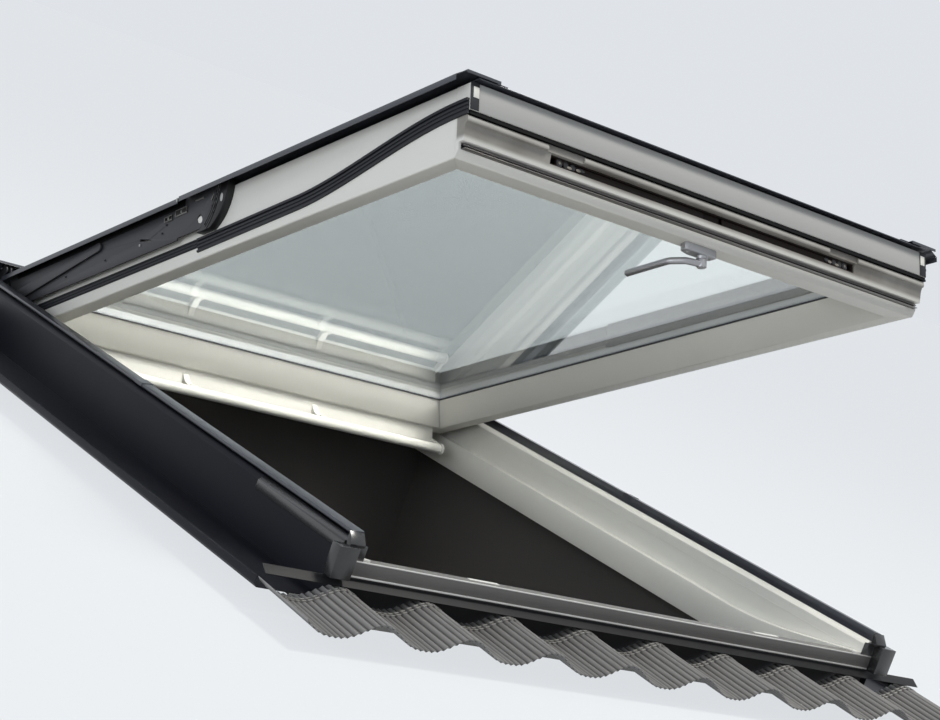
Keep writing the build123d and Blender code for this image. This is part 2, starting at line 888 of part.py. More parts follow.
def front_outline():
    """Front of the bottom rail: leaning lip, seal groove, hollow face, rib and profile seat."""
    hollow = Bezier(
        (front_ledge_s, lip_groove_top_h),
        (front_ledge_s - 1.5, lip_groove_top_h + 4),
        (front_ledge_s - 1.5, lip_groove_top_h + 18),
        (front_ledge_s - 5.5, rib_h - 1),
    )
    curve = [(p.X, p.Y) for p in (hollow @ (i / 6) for i in range(7))]
    return [
        (1, 0),
        (-1.2, 1.6),
        (-8, lip_groove_h - 0.8),
        (-8, lip_groove_h),
        (lip_groove_floor_s, lip_groove_h),
        (lip_groove_floor_s, lip_groove_top_h),
        *curve,
        (rib_s + 1, rib_h + 0.5),
        (rib_s, rib_h + 4),
        (rib_s + 1, rib_h + 9),
        (rib_notch_s, rib_h + 11),
        (rib_notch_s, front_face_bottom_h - 0.2),
        (front_face_s + sheet, front_face_bottom_h - 0.2),
        (front_face_s + sheet, sash_depth),
    ]


def sash_bottom():
    """Bottom rail with the lock slot and notches in its rib at the two hooks."""
    inner_s = glass_bottom_s - glass_shelf_width
    outline = [(bottom_face_width, 0)] + front_outline()
    outline += [(inner_s, sash_depth), (inner_s, glass_shelf_h), (glass_bottom_s, glass_shelf_h)]
    plan = [
        (-sash_half_width, front_face_s - 1),
        (sash_half_width, front_face_s - 1),
        (sash_half_width, 0),
        (glass_side_x, glass_bottom_s),
        (-glass_side_x, glass_bottom_s),
        (-sash_half_width, 0),
    ]
    rail = along_x(outline, -sash_half_width, sash_half_width) & along_z(plan, -1, sash_depth + 1)
    rail -= block(
        lock_slot_left, lock_slot_right, front_face_s, lock_floor_s, lock_slot_bottom_h, lock_slot_top_h
    )
    for hook in (lock_hook_left, lock_hook_right):
        x = sum(hook) / 2
        rail -= block(
            x - rib_notch_half, x + rib_notch_half, front_face_s, rib_notch_s, lock_slot_top_h, rib_h + 11
        )
    end_x = sash_half_width - lip_groove_end
    end = block(end_x, sash_half_width, -8, lip_groove_floor_s, lip_groove_h, lip_groove_top_h)
    return rail + end + mirror(end, about=Plane.YZ)


def sash_top():
    """Top rail with the hinge recess of the vent flap and the room for its swing."""
    inner = top_glass_line + reveal_width
    outline = [
        (top_glass_line, glass_shelf_h),
        (inner, 0),
        (sash_length, 0),
        (sash_length, sash_depth),
        (top_glass_line + glass_shelf_width, sash_depth),
        (top_glass_line + glass_shelf_width, glass_shelf_h),
    ]
    plan = [
        (-sash_half_width, sash_length),
        (sash_half_width, sash_length),
        (glass_side_x, top_glass_line),
        (-glass_side_x, top_glass_line),
    ]
    rail = along_x(outline, -sash_half_width, sash_half_width) & along_z(plan, -1, sash_depth + 1)
    half = vent_half_width + 0.5
    slack = 0.7
    swing = vent_axis_h * math.tan(math.radians(vent_swing))
    opened = vent_flap / 2 / math.cos(math.radians(vent_swing)) + slack
    mouth = [
        (vent_axis_s - vent_flap / 2 - slack, vent_axis_h),
        (vent_axis_s + opened, vent_axis_h),
        (vent_axis_s + opened + swing, 0),
        (vent_axis_s + opened + swing, -1),
        (vent_axis_s - vent_flap / 2 - slack, -1),
    ]
    rail -= along_x(mouth, -half, half)
    return rail - rod_x(-half, half, vent_axis_s, vent_axis_h, vent_bead_radius + vent_clearance)


def glass_pane(level):
    """One pane of the glass unit, from the given height."""
    return block(-glass_half_x, glass_half_x, glass_low_s, glass_high_s, level, level + pane)


def ring(inset, width, h0, h1):
    """Rectangular ring that lies at the edge of the glass."""
    shapes = []
    for edge, grow in ((inset, 0), (inset + width, 1)):
        shapes.append(
            block(
                -glass_half_x + edge,
                glass_half_x - edge,
                glass_low_s + edge,
                glass_high_s - edge,
                h0 - grow,
                h1 + grow,
            )
        )
    return shapes[0] - shapes[1]


def glazing_gasket():
    """Seal between the glass and its shelf, just showing at the reveal."""
    inset = 1.0
    reach = glass_shelf_width - glass_edge_clearance + 1.5
    return ring(inset, reach, glass_shelf_h, glass_shelf_h + glass_gasket)


def cover_gasket():
    """Rubber strip under the inner legs of the lower covers, open towards the pivot."""
    wide = 8.0
    outer_x = cover_inner_x + wide / 2
    low = glass_bottom_s - wide
    high = pivot_s - 1
    strip = block(-outer_x, outer_x, low, high, glass_top_h, cover_leg_h)
    inner_x = outer_x - wide
    return strip - block(-inner_x, inner_x, low + wide, high + 1, glass_top_h - 1, cover_leg_h + 1)


def gasket_band(x0, x1, low, high):
    """Band that follows the S-shaped line of the lower side gasket."""
    third = (gasket_bend_top_s - gasket_bend_bottom_s) / 3

    def line(lift):
        joint = (x0, gasket_joint_s, gasket_top_h + lift)
        upper = (x0, gasket_bend_top_s, gasket_bend_top_h + lift)
        lower = (x0, gasket_bend_bottom_s, gasket_bottom_h + lift)
        front = (x0, gasket_front_s, gasket_bottom_h + lift)
        pull_upper = (x0, gasket_bend_top_s - third, gasket_bend_top_h + lift)
        pull_lower = (x0, gasket_bend_bottom_s + third, gasket_bottom_h + lift)
        return [Line(joint, upper), Bezier(upper, pull_upper, pull_lower, lower), Line(lower, front)]

    edges = line(low) + line(high)
    for s, h in ((gasket_joint_s, gasket_top_h), (gasket_front_s, gasket_bottom_h)):
        edges.append(Line((x0, s, h + low), (x0, s, h + high)))
    return extrude(make_face(edges), x1 - x0, dir=(1, 0, 0))


def lower_side_gasket():
    """Ribbed strip with three beads along the S-shaped line."""
    base_x = sash_half_width + gasket_base
    strip = gasket_band(sash_half_width, base_x, -gasket_half_band, gasket_half_band)
    for centre in (-10.2, -3.0, 3.4):
        strip += gasket_band(base_x, base_x + gasket_rib, centre - 1.6, centre + 1.6)
    return strip + gasket_band(base_x, base_x + 2 * gasket_rib, gasket_half_band - 4.4, gasket_half_band)


def upper_side_gasket():
    """Slimmer strip with three ribs beside the upper half of the sash."""
    x = sash_half_width
    start = gasket_joint_s + 1
    low = gasket_top_h - 2.7
    high = gasket_top_h + 13.3
    strip = block(x, x + gasket_base, start, sash_length, low, high)
    for i in range(3):
        h = low + 1.5 + 5.5 * i
        strip += block(x + gasket_base, x + gasket_base + gasket_rib, start, sash_length, h, h + 2)
    return strip


def lip_gasket():
    """Black strip with two lips in the groove of the bottom rail."""
    half = sash_half_width - lip_groove_end
    root_s = lip_groove_floor_s - 4
    strip = block(-half, half, root_s, lip_groove_floor_s, lip_groove_h, lip_groove_top_h)
    for tip_s, h in ((-9.5, lip_groove_h + 1), (-11.5, lip_groove_h + 6)):
        lip = [(root_s, h), (tip_s, h + 0.4), (tip_s, h + 1.6), (root_s, h + 2.4)]
        strip += along_x(lip, -half, half)
    return strip


def front_gasket():
    """Strip between the rib of the bottom rail and the light front profile."""
    half = sash_half_width - 2
    return block(-half, half, rib_s - 1.5, rib_notch_s, rib_h + 11, front_face_bottom_h - 0.2)


def front_profile():
    """Light face profile along the bottom of the sash, folded over the rail."""
    top = sash_depth + sheet
    path = [(front_face_s, front_face_bottom_h), (front_face_s, top), (front_face_s + 10, top)]
    half = sash_half_width - front_face_inset
    return along_x(fold(path, sheet), -half, half)


def bottom_cover():
    """Dark cover over the bottom rail, from its front edge to the glass."""
    top = sash_depth + bottom_cover_rise
    lip = 1.6
    leg_s = glass_bottom_s - 4
    path = [
        (bottom_cover_front_s, top - lip),
        (bottom_cover_front_s, top),
        (leg_s, top),
        (leg_s, cover_leg_h),
    ]
    half = sash_half_width - 2 * front_face_inset
    middle = along_x(fold(path, sheet), -cover_inner_x + 4, cover_inner_x - 4)
    wings = along_x(fold(path[:2] + [(glass_low_s - 1, top)], sheet), -half, half)
    return middle + wings


def lower_side_cover():
    """Side cover with its front lip reaching over the bottom cover."""
    start = front_face_s - 2
    body = cover(lower_cover_h, start, pivot_s + 1.5 - cover_joint_gap, glass_bottom_s - 3.5, pivot_s - 1)
    lip_x = cover_crown_x - cover_lip_width
    lip = block(lip_x, cover_crown_x, cover_front_s, start, lower_cover_h - sheet, lower_cover_h)
    nose = block(
        lip_x, cover_crown_x, cover_front_s, cover_front_s + sheet, lower_cover_h - 4 * sheet, lower_cover_h
    )
    return body + lip + nose


def pivot_track():
    """Plate on the side of the sash with the short curved rib of the pivot hinge."""
    x = sash_half_width
    half = track_plate_half
    low = pivot_h - housing_radius - 10.5
    plate = block(x, x + track_plate, pivot_s - half, pivot_s + half, low, under_flange_h)
    inner = track_radius - track_rib / 2
    outer = track_radius + track_rib / 2
    return plate + disc_sector(x + track_plate, x + track_plate + track_rib_height, inner, outer, -48, -18)


def pivot_guard():
    """Black crescent on the sash that closes the gap round the arm's end."""
    x0 = sash_half_width
    x1 = sash_half_width + guard_reach
    reach = 2 * guard_radius
    outer = rod_x(x0, x1, pivot_s - guard_offset_s, pivot_h - guard_offset_h, guard_radius)
    inner = rod_x(x0 - 1, x1 + 1, pivot_s, pivot_h, arm_end_radius + guard_clearance)
    low = block(x0 - 1, x1 + 1, pivot_s - reach, pivot_s + reach, 0, arm_lower_h - 2)
    high = block(x0 - 1, x1 + 1, pivot_s - reach, pivot_s + reach, lower_cover_h - sheet, pivot_h + reach)
    behind = block(x0 - 1, x1 + 1, pivot_s - 20, pivot_s + reach, 0, pivot_h + reach)
    return outer - inner - low - high - behind


save_sash_pair("sash_side", sash_side())
save_sash("sash_bottom_rail", sash_bottom())
save_sash("sash_top_rail", sash_top())
save_sash("inner_pane", glass_pane(glass_low_h))
save_sash("outer_pane", glass_pane(glass_low_h + pane + pane_gap))
save_sash("glass_spacer", ring(spacer_inset, spacer_width, glass_low_h + pane, glass_low_h + pane + pane_gap))
save_sash("glazing_gasket", glazing_gasket())
save_sash("cover_gasket", cover_gasket())
save_sash_pair("lower_side_gasket", lower_side_gasket())
save_sash("upper_side_gaskets", both(upper_side_gasket()))
save_sash("lip_gasket", lip_gasket())
save_sash("front_gasket", front_gasket())
save_sash("front_profile", front_profile())
save_sash("bottom_cover", bottom_cover())
save_sash_pair("lower_side_cover", lower_side_cover())
save_sash("pivot_tracks", both(pivot_track()))
save_sash("pivot_guards", both(pivot_guard()))

# Lock, handle and vent


def lock_channel():
    """Steel channel in the slot of the bottom rail, with the gearbox of the handle."""
    left = lock_slot_left + lock_clearance
    right = lock_slot_right - lock_clearance
    low = lock_slot_bottom_h + lock_clearance
    high = lock_slot_top_h - lock_clearance
    wall = lock_channel_wall
    outer = block(left, right, lock_mouth_s, lock_floor_s, low, high)
    inner = block(left + wall, right - wall, lock_mouth_s - 1, lock_floor_s - wall, low + wall, high - wall)
    gearbox_s = lock_mouth_s + 6
    gearbox = block(handle_x - 26, handle_x + 10, gearbox_s, lock_floor_s - wall, low + wall, high - wall)
    return outer - inner + gearbox


def lock_bar(inner_x, hook):
    """Flat sliding bar with a forked hook near its outer end."""
    bar_s = lock_mouth_s + 2
    low = lock_slot_bottom_h + lock_channel_wall + 2 * lock_clearance
    high = lock_slot_top_h - lock_channel_wall - 2 * lock_clearance
    bar = block(min(inner_x, hook[0]), max(inner_x, hook[1]), bar_s, bar_s + 3, low + 1, high - 1)
    middle = sum(hook) / 2
    head = block(hook[0], hook[1], lock_mouth_s + 0.5, bar_s + 7, low, high)
    fork = block(middle - 4, middle + 4, lock_mouth_s - 1, bar_s + 8, low - 1, low + 6)
    return bar + head - fork


def handle_base():
    """Shield-shaped base on the inner face of the bottom rail."""
    plan = [(-45, 9), (-41, 5.5), (21, 5.5), (27, 9), (27, 24), (19, 28), (-24, 28), (-41, 23)]
    base = along_z([(handle_x + x, s) for x, s in plan], -handle_base_height, 0)
    base = fillet(base.faces().sort_by(Axis.Z)[0].edges(), 2.5)
    neck_h = -handle_base_height - handle_neck / 2
    return base + Pos(handle_x, handle_s, neck_h) * Cylinder(handle_neck_radius, handle_neck)


def handle_lever():
    """Swan-neck lever: hub, short neck and a long rounded grip."""
    level = -handle_drop
    top = -handle_base_height - handle_neck - 0.3
    bottom = level - handle_rod_radius
    hub = Pos(handle_x, handle_s, (top + bottom) / 2) * Cylinder(handle_hub_radius, top - bottom)
    path = FilletPolyline(
        (handle_x, handle_s, level),
        (handle_x - 30, handle_s + 5, level),
        (handle_x - 48, handle_s + 26, level),
        (handle_x - 49, handle_s + 120, level),
        radius=16,
    )
    start = Plane(origin=path @ 0, z_dir=path % 0)
    grip = sweep(start * Circle(handle_rod_radius), path=path)
    end = Plane(origin=path @ 1, z_dir=path % 1)
    tip = end * Pos(0, 0, 1.5) * Cone(handle_rod_radius, handle_rod_radius * 0.55, 3)
    return hub + grip + tip


def vent_flap_leaf():
    """Flap with a round hinge bead along its upper edge."""
    leaf = block(
        -vent_half_width,
        vent_half_width,
        vent_axis_s - vent_flap / 2,
        vent_axis_s + vent_flap / 2,
        -vent_flap_depth,
        vent_axis_h,
    )
    return leaf + rod_x(-vent_half_width, vent_half_width, vent_axis_s, vent_axis_h, vent_bead_radius)


def vent_bar():
    """Round control bar below the flap, a tube with open ends."""
    half = vent_half_width - vent_cap
    outer = rod_x(-half, half, vent_bar_s, vent_bar_h, vent_bar_radius)
    return outer - rod_x(-half - 1, half + 1, vent_bar_s, vent_bar_h, vent_bar_radius - vent_bar_wall)


def vent_strap_at(x):
    """Curved strap from the flap over the back of the control bar."""
    low_x = x - vent_strap_half
    high_x = x + vent_strap_half
    flap_s = vent_axis_s - vent_flap / 2
    room = vent_bar_radius + seat_gap
    hug = rod_x(low_x, high_x, vent_bar_s, vent_bar_h, vent_bar_radius + vent_strap)
    reach = 2 * vent_bar_radius
    front = [
        (vent_bar_s - reach, vent_bar_h - reach),
        (vent_bar_s + reach, vent_bar_h - reach),
        (vent_bar_s + reach, vent_bar_h),
        (vent_bar_s - 3, vent_bar_h),
        (vent_bar_s - 6, vent_bar_h + reach),
        (vent_bar_s - reach, vent_bar_h + reach),
    ]
    hug -= along_x(front, low_x - 1, high_x + 1)
    link = [
        (vent_bar_s + vent_bar_radius - 1, vent_bar_h),
        (flap_s, -vent_flap_depth + 2),
        (flap_s, -vent_flap_depth + 12),
        (vent_bar_s + 4, vent_bar_h + vent_bar_radius + 1),
    ]
    strap = hug + along_x(link, low_x, high_x)
    return strap - rod_x(low_x - 1, high_x + 1, vent_bar_s, vent_bar_h, room)


def vent_end_cap():
    """Moulded end of the control bar, with its link back to the flap."""
    x1 = vent_half_width
    x0 = x1 - vent_cap
    flap_s = vent_axis_s - vent_flap / 2
    cap = rod_x(x0, x1, vent_bar_s, vent_bar_h, vent_bar_radius + 2)
    cap += rod_x(x0 - 2 * vent_cap, x0, vent_bar_s, vent_bar_h, vent_bar_radius - vent_bar_wall - 0.3)
    link = [
        (vent_bar_s, vent_bar_h - vent_bar_radius + 1.5),
        (flap_s, -vent_flap_depth + 1),
        (flap_s, -vent_flap_depth + 14),
        (vent_bar_s, vent_bar_h + vent_bar_radius + 0.5),
    ]
    return cap + along_x(link, x0, x1)


def stay():
    """Flat stay from its pivot on the frame to the shoe that follows the arm."""
    # The pivot is fixed to the frame, so its place is turned back into sash axes
    pivot_y = hinge_y - rest_y
    pivot_z = hinge_z - stay_pivot_drop - rest_z
    foot_s = pivot_y * math.cos(turn) - pivot_z * math.sin(turn)
    foot_h = pivot_y * math.sin(turn) + pivot_z * math.cos(turn)
    shoe_s = hinge_s - stay_reach
    shoe_h = pivot_h - stay_shoe_drop
    lean = math.atan2(shoe_h - foot_h, shoe_s - foot_s)
    side_s = -math.sin(lean)
    side_h = math.cos(lean)
    outline = [
        (foot_s + side_s * stay_foot_radius, foot_h + side_h * stay_foot_radius),
        (shoe_s + side_s * stay_shoe_radius, shoe_h + side_h * stay_shoe_radius),
        (shoe_s - side_s * stay_shoe_radius, shoe_h - side_h * stay_shoe_radius),
        (foot_s - side_s * stay_foot_radius, foot_h - side_h * stay_foot_radius),
    ]
    bar = along_x(outline, stay_inner_x, stay_outer_x)
    bar += rod_x(stay_inner_x, stay_outer_x, foot_s, foot_h, stay_foot_radius)
    bar += rod_x(stay_inner_x, stay_outer_x, shoe_s, shoe_h, stay_shoe_radius)
    hole = hinge_pin_radius + hinge_clearance
    return bar - rod_x(stay_inner_x - 1, stay_outer_x + 1, foot_s, foot_h, hole)


save_sash("lock_channel", lock_channel())
save_sash("lock_bar_left", lock_bar(handle_x - 30, lock_hook_left))
save_sash("lock_bar_right", lock_bar(handle_x + 14, lock_hook_right))
save_sash("handle_base", handle_base())
save_sash("handle_lever", handle_lever())
save_sash("vent_flap", vent_flap_leaf())
save_sash("vent_bar", vent_bar())
save_sash("vent_straps", both(vent_strap_at(vent_strap_x)))
save_sash("vent_end_caps", both(vent_end_cap()))
save_sash_pair("stay", stay())
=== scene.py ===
"""Looks of the roof window: finishes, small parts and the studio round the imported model."""

from __future__ import annotations

import json
import logging
import math
from dataclasses import dataclass, field
from enum import Enum
from functools import cache

import bmesh
import bpy
from mathutils import Matrix, Vector


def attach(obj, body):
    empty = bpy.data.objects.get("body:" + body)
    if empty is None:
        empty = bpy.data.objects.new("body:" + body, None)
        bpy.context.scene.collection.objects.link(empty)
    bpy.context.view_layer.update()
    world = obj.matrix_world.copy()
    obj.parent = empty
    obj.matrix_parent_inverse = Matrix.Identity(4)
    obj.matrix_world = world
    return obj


log = logging.getLogger("roof_window")

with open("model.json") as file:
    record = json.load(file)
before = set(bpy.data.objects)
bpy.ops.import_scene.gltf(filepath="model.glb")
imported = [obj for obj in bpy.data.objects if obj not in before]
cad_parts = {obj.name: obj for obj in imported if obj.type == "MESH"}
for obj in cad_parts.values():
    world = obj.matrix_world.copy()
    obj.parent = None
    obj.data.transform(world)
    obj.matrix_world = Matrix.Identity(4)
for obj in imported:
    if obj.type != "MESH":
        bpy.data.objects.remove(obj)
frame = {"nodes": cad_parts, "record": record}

MM = 0.001
"""One millimetre in the scene's metres."""

Pair = tuple[float, float]
Triple = tuple[float, float, float]
Quad = tuple[float, float, float, float]

ROUND_SIDES = 20
OVAL_SIDES = 24
ARC_STEPS = 18
SMOOTH_DEG = 32.0
"""Edges sharper than this stay crisp."""


@dataclass(frozen=True)
class Pose:
    """How the sash stands at rest, and its own axes in the row frame."""

    open_deg: float = 28.07
    hinge_y: float = 1353.0
    hinge_z: float = 157.0
    offset_y: float = 21.0
    offset_z: float = 30.0

    def to_row(self, x: float, s: float, h: float) -> Vector:
        """Turns a point of the sash into the row frame.

        Args:
            x: Distance across the window, in millimetres.
            s: Distance up the sash from its lower edge, in millimetres.
            h: Height above the sash's inner face, in millimetres.

        Returns:
            The point in metres.
        """
        turn = math.radians(self.open_deg)
        up = s - (self.hinge_y - self.offset_y)
        out = h - (self.hinge_z - self.offset_z)
        y = self.hinge_y + up * math.cos(turn) + out * math.sin(turn)
        z = self.hinge_z - up * math.sin(turn) + out * math.cos(turn)
        return Vector((x, y, z)) * MM

    def way(self, x: float, s: float, h: float) -> Vector:
        """Turns a direction of the sash into the row frame.

        Args:
            x: Its part across the window.
            s: Its part up the sash.
            h: Its part outwards.

        Returns:
            The unit vector.
        """
        return (self.to_row(x, s, h) - self.to_row(0, 0, 0)).normalized()


SASH = Pose()


class Tone(Enum):
    """Base colours, linear, of the window's finishes."""

    WHITE = (0.76, 0.75, 0.70)
    ANTHRACITE = (0.046, 0.050, 0.062)
    LIGHT_GREY = (0.43, 0.43, 0.415)
    # Near white of the painted highlights on the bottom cladding's edges.
    EDGE_HIGHLIGHT = (0.80, 0.79, 0.76)
    # Near black that is partly painted shade: the shadow under the arms' covers and under the front profile.
    BLACK_AND_SHADE = (0.0035, 0.0035, 0.004)
    SHEET_GREY = (0.165, 0.158, 0.150)
    # Near black of the side and head flashings: the sheet's own dark tone deepened into painted shade, far
    # darker than the flashing's sheet grey elsewhere.
    FLASHING_DARK_SHADE = (0.0065, 0.0070, 0.011)
    APRON_GREY = (0.27, 0.262, 0.255)
    CRIMP_GREY = (0.36, 0.35, 0.33)
    LOCK_BROWN = (0.016, 0.010, 0.009)
    # Beige of the painted highlights on the lock bars.
    BEIGE_HIGHLIGHT = (0.26, 0.235, 0.20)
    GUARD_GREY = (0.045, 0.045, 0.048)
    DULL_STEEL = (0.22, 0.21, 0.20)
    RUBBER = (0.018, 0.019, 0.023)
    BLACK = (0.012, 0.012, 0.013)
    ARM_GREY = (0.050, 0.050, 0.055)
    ZINC = (0.52, 0.52, 0.50)
    SATIN = (0.40, 0.40, 0.41)
    FELT = (0.78, 0.78, 0.75)
    SPACER = (0.50, 0.51, 0.53)


def add_node(
    tree: bpy.types.NodeTree, kind: str, constants: dict[str | int, object] | None = None, **settings: object
) -> bpy.types.Node:
    """Adds a node to a tree.

    Args:
        tree: The tree.
        kind: The node's type.
        constants: Values of its inputs, by name or number.
        settings: Its own settings, which are made before the constants.

    Returns:
        The new node.
    """
    node = tree.nodes.new(kind)
    for name, value in settings.items():
        setattr(node, name, value)
    for key, value in (constants or {}).items():
        node.inputs[key].default_value = value
    return node


def new_group(
    name: str, kind: str, *sockets: tuple[object, ...]
) -> tuple[bpy.types.NodeTree, bpy.types.Node, bpy.types.Node]:
    """Makes a node group.

    Args:
        name: The group's name.
        kind: Its tree type.
        sockets: Of each socket the name, the type, True for an output, and the default where it has one.

    Returns:
        The group, its input node and its output node.
    """
    tree = bpy.data.node_groups.new(name, kind)
    for label, form, outward, *value in sockets:
        way = "OUTPUT" if outward else "INPUT"
        item = tree.interface.new_socket(name=label, in_out=way, socket_type=form)
        if value:
            item.default_value = value[0]
    return tree, add_node(tree, "NodeGroupInput"), add_node(tree, "NodeGroupOutput")


def wire(
    tree: bpy.types.NodeTree, *links: tuple[bpy.types.Node, str | int, bpy.types.Node, str | int]
) -> None:
    """Links nodes of a tree.

    Args:
        tree: The tree.
        links: Of each link the node and output that it leaves, and the node and input that it enters.
    """
    for source, leaves, target, enters in links:
        tree.links.new(source.outputs[leaves], target.inputs[enters])


def place_object(name: str, data: bpy.types.ID) -> bpy.types.Object:
    """Makes an object of a mesh, lamp or camera and links it to the scene.

    Args:
        name: The object's name.
        data: What it holds.

    Returns:
        The new object.
    """
    made = bpy.data.objects.new(name, data)
    bpy.context.scene.collection.objects.link(made)
    return made


def start_material(
    name: str, constants: dict[str, object]
) -> tuple[bpy.types.Material, bpy.types.NodeTree, bpy.types.Node]:
    """Makes a node material.

    Args:
        name: The material's name.
        constants: Values of its Principled shader's inputs.

    Returns:
        The material, its node tree and its Principled shader.
    """
    material = bpy.data.materials.new(name)
    material.use_nodes = True
    shader = material.node_tree.nodes["Principled BSDF"]
    for key, value in constants.items():
        shader.inputs[key].default_value = value
    return material, material.node_tree, shader


class Effects:
    """Shader groups that several finishes share, each built once."""

    @staticmethod
    @cache
    def mottle() -> bpy.types.NodeTree:
        """Group that varies a colour and a roughness by soft large noise and fine grain.

        Returns:
            The group.
        """
        tree, inp, out = new_group(
            "mottle",
            "ShaderNodeTree",
            ("Light", "NodeSocketColor", False, (1, 1, 1, 1)),
            ("Dark", "NodeSocketColor", False, (0.5, 0.5, 0.5, 1)),
            ("Patch Scale", "NodeSocketFloat", False, 6.0),
            ("Roughness", "NodeSocketFloat", False, 0.5),
            ("Spread", "NodeSocketFloat", False, 0.08),
            ("Color", "NodeSocketColor", True),
            ("Roughness", "NodeSocketFloat", True),
        )
        place = add_node(tree, "ShaderNodeTexCoord")
        patch = add_node(tree, "ShaderNodeTexNoise", {"Detail": 6.0, "Roughness": 0.62})
        mix = add_node(tree, "ShaderNodeMix", data_type="RGBA")
        shift = add_node(tree, "ShaderNodeMath", {1: 0.5}, operation="SUBTRACT")
        scale = add_node(tree, "ShaderNodeMath", operation="MULTIPLY_ADD")
        wire(
            tree,
            (place, "Object", patch, "Vector"),
            (inp, "Patch Scale", patch, "Scale"),
            (patch, "Fac", mix, "Factor"),
            (inp, "Dark", mix, "A"),
            (inp, "Light", mix, "B"),
            (patch, "Fac", shift, 0),
            (shift, 0, scale, 0),
            (inp, "Spread", scale, 1),
            (inp, "Roughness", scale, 2),
            (mix, "Result", out, "Color"),
            (scale, 0, out, "Roughness"),
        )
        return tree

    @staticmethod
    @cache
    def grain() -> bpy.types.NodeTree:
        """Group that gives the height of a fine coat texture, such as powder coat or moulding grain.

        Returns:
            The group.
        """
        tree, inp, out = new_group(
            "grain",
            "ShaderNodeTree",
            ("Scale", "NodeSocketFloat", False, 900.0),
            ("Stretch", "NodeSocketVector", False, (1.0, 1.0, 1.0)),
            ("Height", "NodeSocketFloat", True),
        )
        place = add_node(tree, "ShaderNodeTexCoord")
        stretch = add_node(tree, "ShaderNodeVectorMath", operation="MULTIPLY")
        noise = add_node(tree, "ShaderNodeTexNoise", {"Detail": 3.0})
        wire(
            tree,
            (place, "Object", stretch, 0),
            (inp, "Stretch", stretch, 1),
            (stretch, 0, noise, "Vector"),
            (inp, "Scale", noise, "Scale"),
            (noise, "Fac", out, "Height"),
        )
        return tree

    @staticmethod
    @cache
    def dust() -> bpy.types.NodeTree:
        """Group that gives a mask of dust lying on faces that look outwards from the roof.

        Returns:
            The group.
        """
        tree, inp, out = new_group(
            "dust",
            "ShaderNodeTree",
            ("Amount", "NodeSocketFloat", False, 0.3),
            ("Scale", "NodeSocketFloat", False, 18.0),
            ("Mask", "NodeSocketFloat", True),
        )
        place = add_node(tree, "ShaderNodeTexCoord")
        facing = add_node(tree, "ShaderNodeNewGeometry")
        split = add_node(tree, "ShaderNodeSeparateXYZ")
        noise = add_node(tree, "ShaderNodeTexNoise", {"Detail": 8.0, "Roughness": 0.7})
        sharpen = add_node(tree, "ShaderNodeMapRange", {"From Min": 0.42, "From Max": 0.72})
        rise = add_node(tree, "ShaderNodeMapRange", {"From Min": -0.2})
        both = add_node(tree, "ShaderNodeMath", operation="MULTIPLY")
        amount = add_node(tree, "ShaderNodeMath", operation="MULTIPLY")
        wire(
            tree,
            (facing, "Normal", split, 0),
            (split, "Z", rise, "Value"),
            (place, "Object", noise, "Vector"),
            (inp, "Scale", noise, "Scale"),
            (noise, "Fac", sharpen, "Value"),
            (rise, "Result", both, 0),
            (sharpen, "Result", both, 1),
            (both, 0, amount, 0),
            (inp, "Amount", amount, 1),
            (amount, 0, out, "Mask"),
        )
        return tree

    @staticmethod
    @cache
    def recess() -> bpy.types.NodeTree:
        """Group that gives a mask of painted shade in the recess below the front profile, standing in for
        the shade under the profile's overhang.

        Returns:
            The group.
        """
        tree, inp, out = new_group(
            "recess",
            "ShaderNodeTree",
            ("Amount", "NodeSocketFloat", False, 0.96),
            ("Mask", "NodeSocketFloat", True),
        )
        place = add_node(tree, "ShaderNodeTexCoord")
        noise = add_node(tree, "ShaderNodeTexNoise", {"Scale": 9.0, "Detail": 5.0})
        link = tree.links.new
        wire(tree, (place, "Object", noise, "Vector"))
        parts = [inp.outputs["Amount"]]
        origin = SASH.to_row(0, 0, 0)
        up_ramps = ((-31.0, -26.0), (-1.5, -4.0))
        out_ramps = ((23.0, 34.0), (67.5, 63.0))
        for axis, ramps in (((0, 1, 0), up_ramps), ((0, 0, 1), out_ramps)):
            way = SASH.way(*axis)
            along = add_node(tree, "ShaderNodeVectorMath", {1: way}, operation="DOT_PRODUCT")
            wire(tree, (place, "Object", along, 0))
            for start, end in ramps:
                ramp = add_node(
                    tree,
                    "ShaderNodeMapRange",
                    {"From Min": way.dot(origin) + start * MM, "From Max": way.dot(origin) + end * MM},
                    interpolation_type="SMOOTHSTEP",
                )
                wire(tree, (along, "Value", ramp, "Value"))
                parts.append(ramp.outputs["Result"])
        patch = add_node(tree, "ShaderNodeMapRange", {"From Min": 0.30, "From Max": 0.60, "To Min": 0.72})
        wire(tree, (noise, "Fac", patch, "Value"))
        parts.append(patch.outputs["Result"])
        total = parts[0]
        for part in parts[1:]:
            times = add_node(tree, "ShaderNodeMath", operation="MULTIPLY")
            link(total, times.inputs[0])
            link(part, times.inputs[1])
            total = times.outputs[0]
        link(total, out.inputs["Mask"])
        return tree

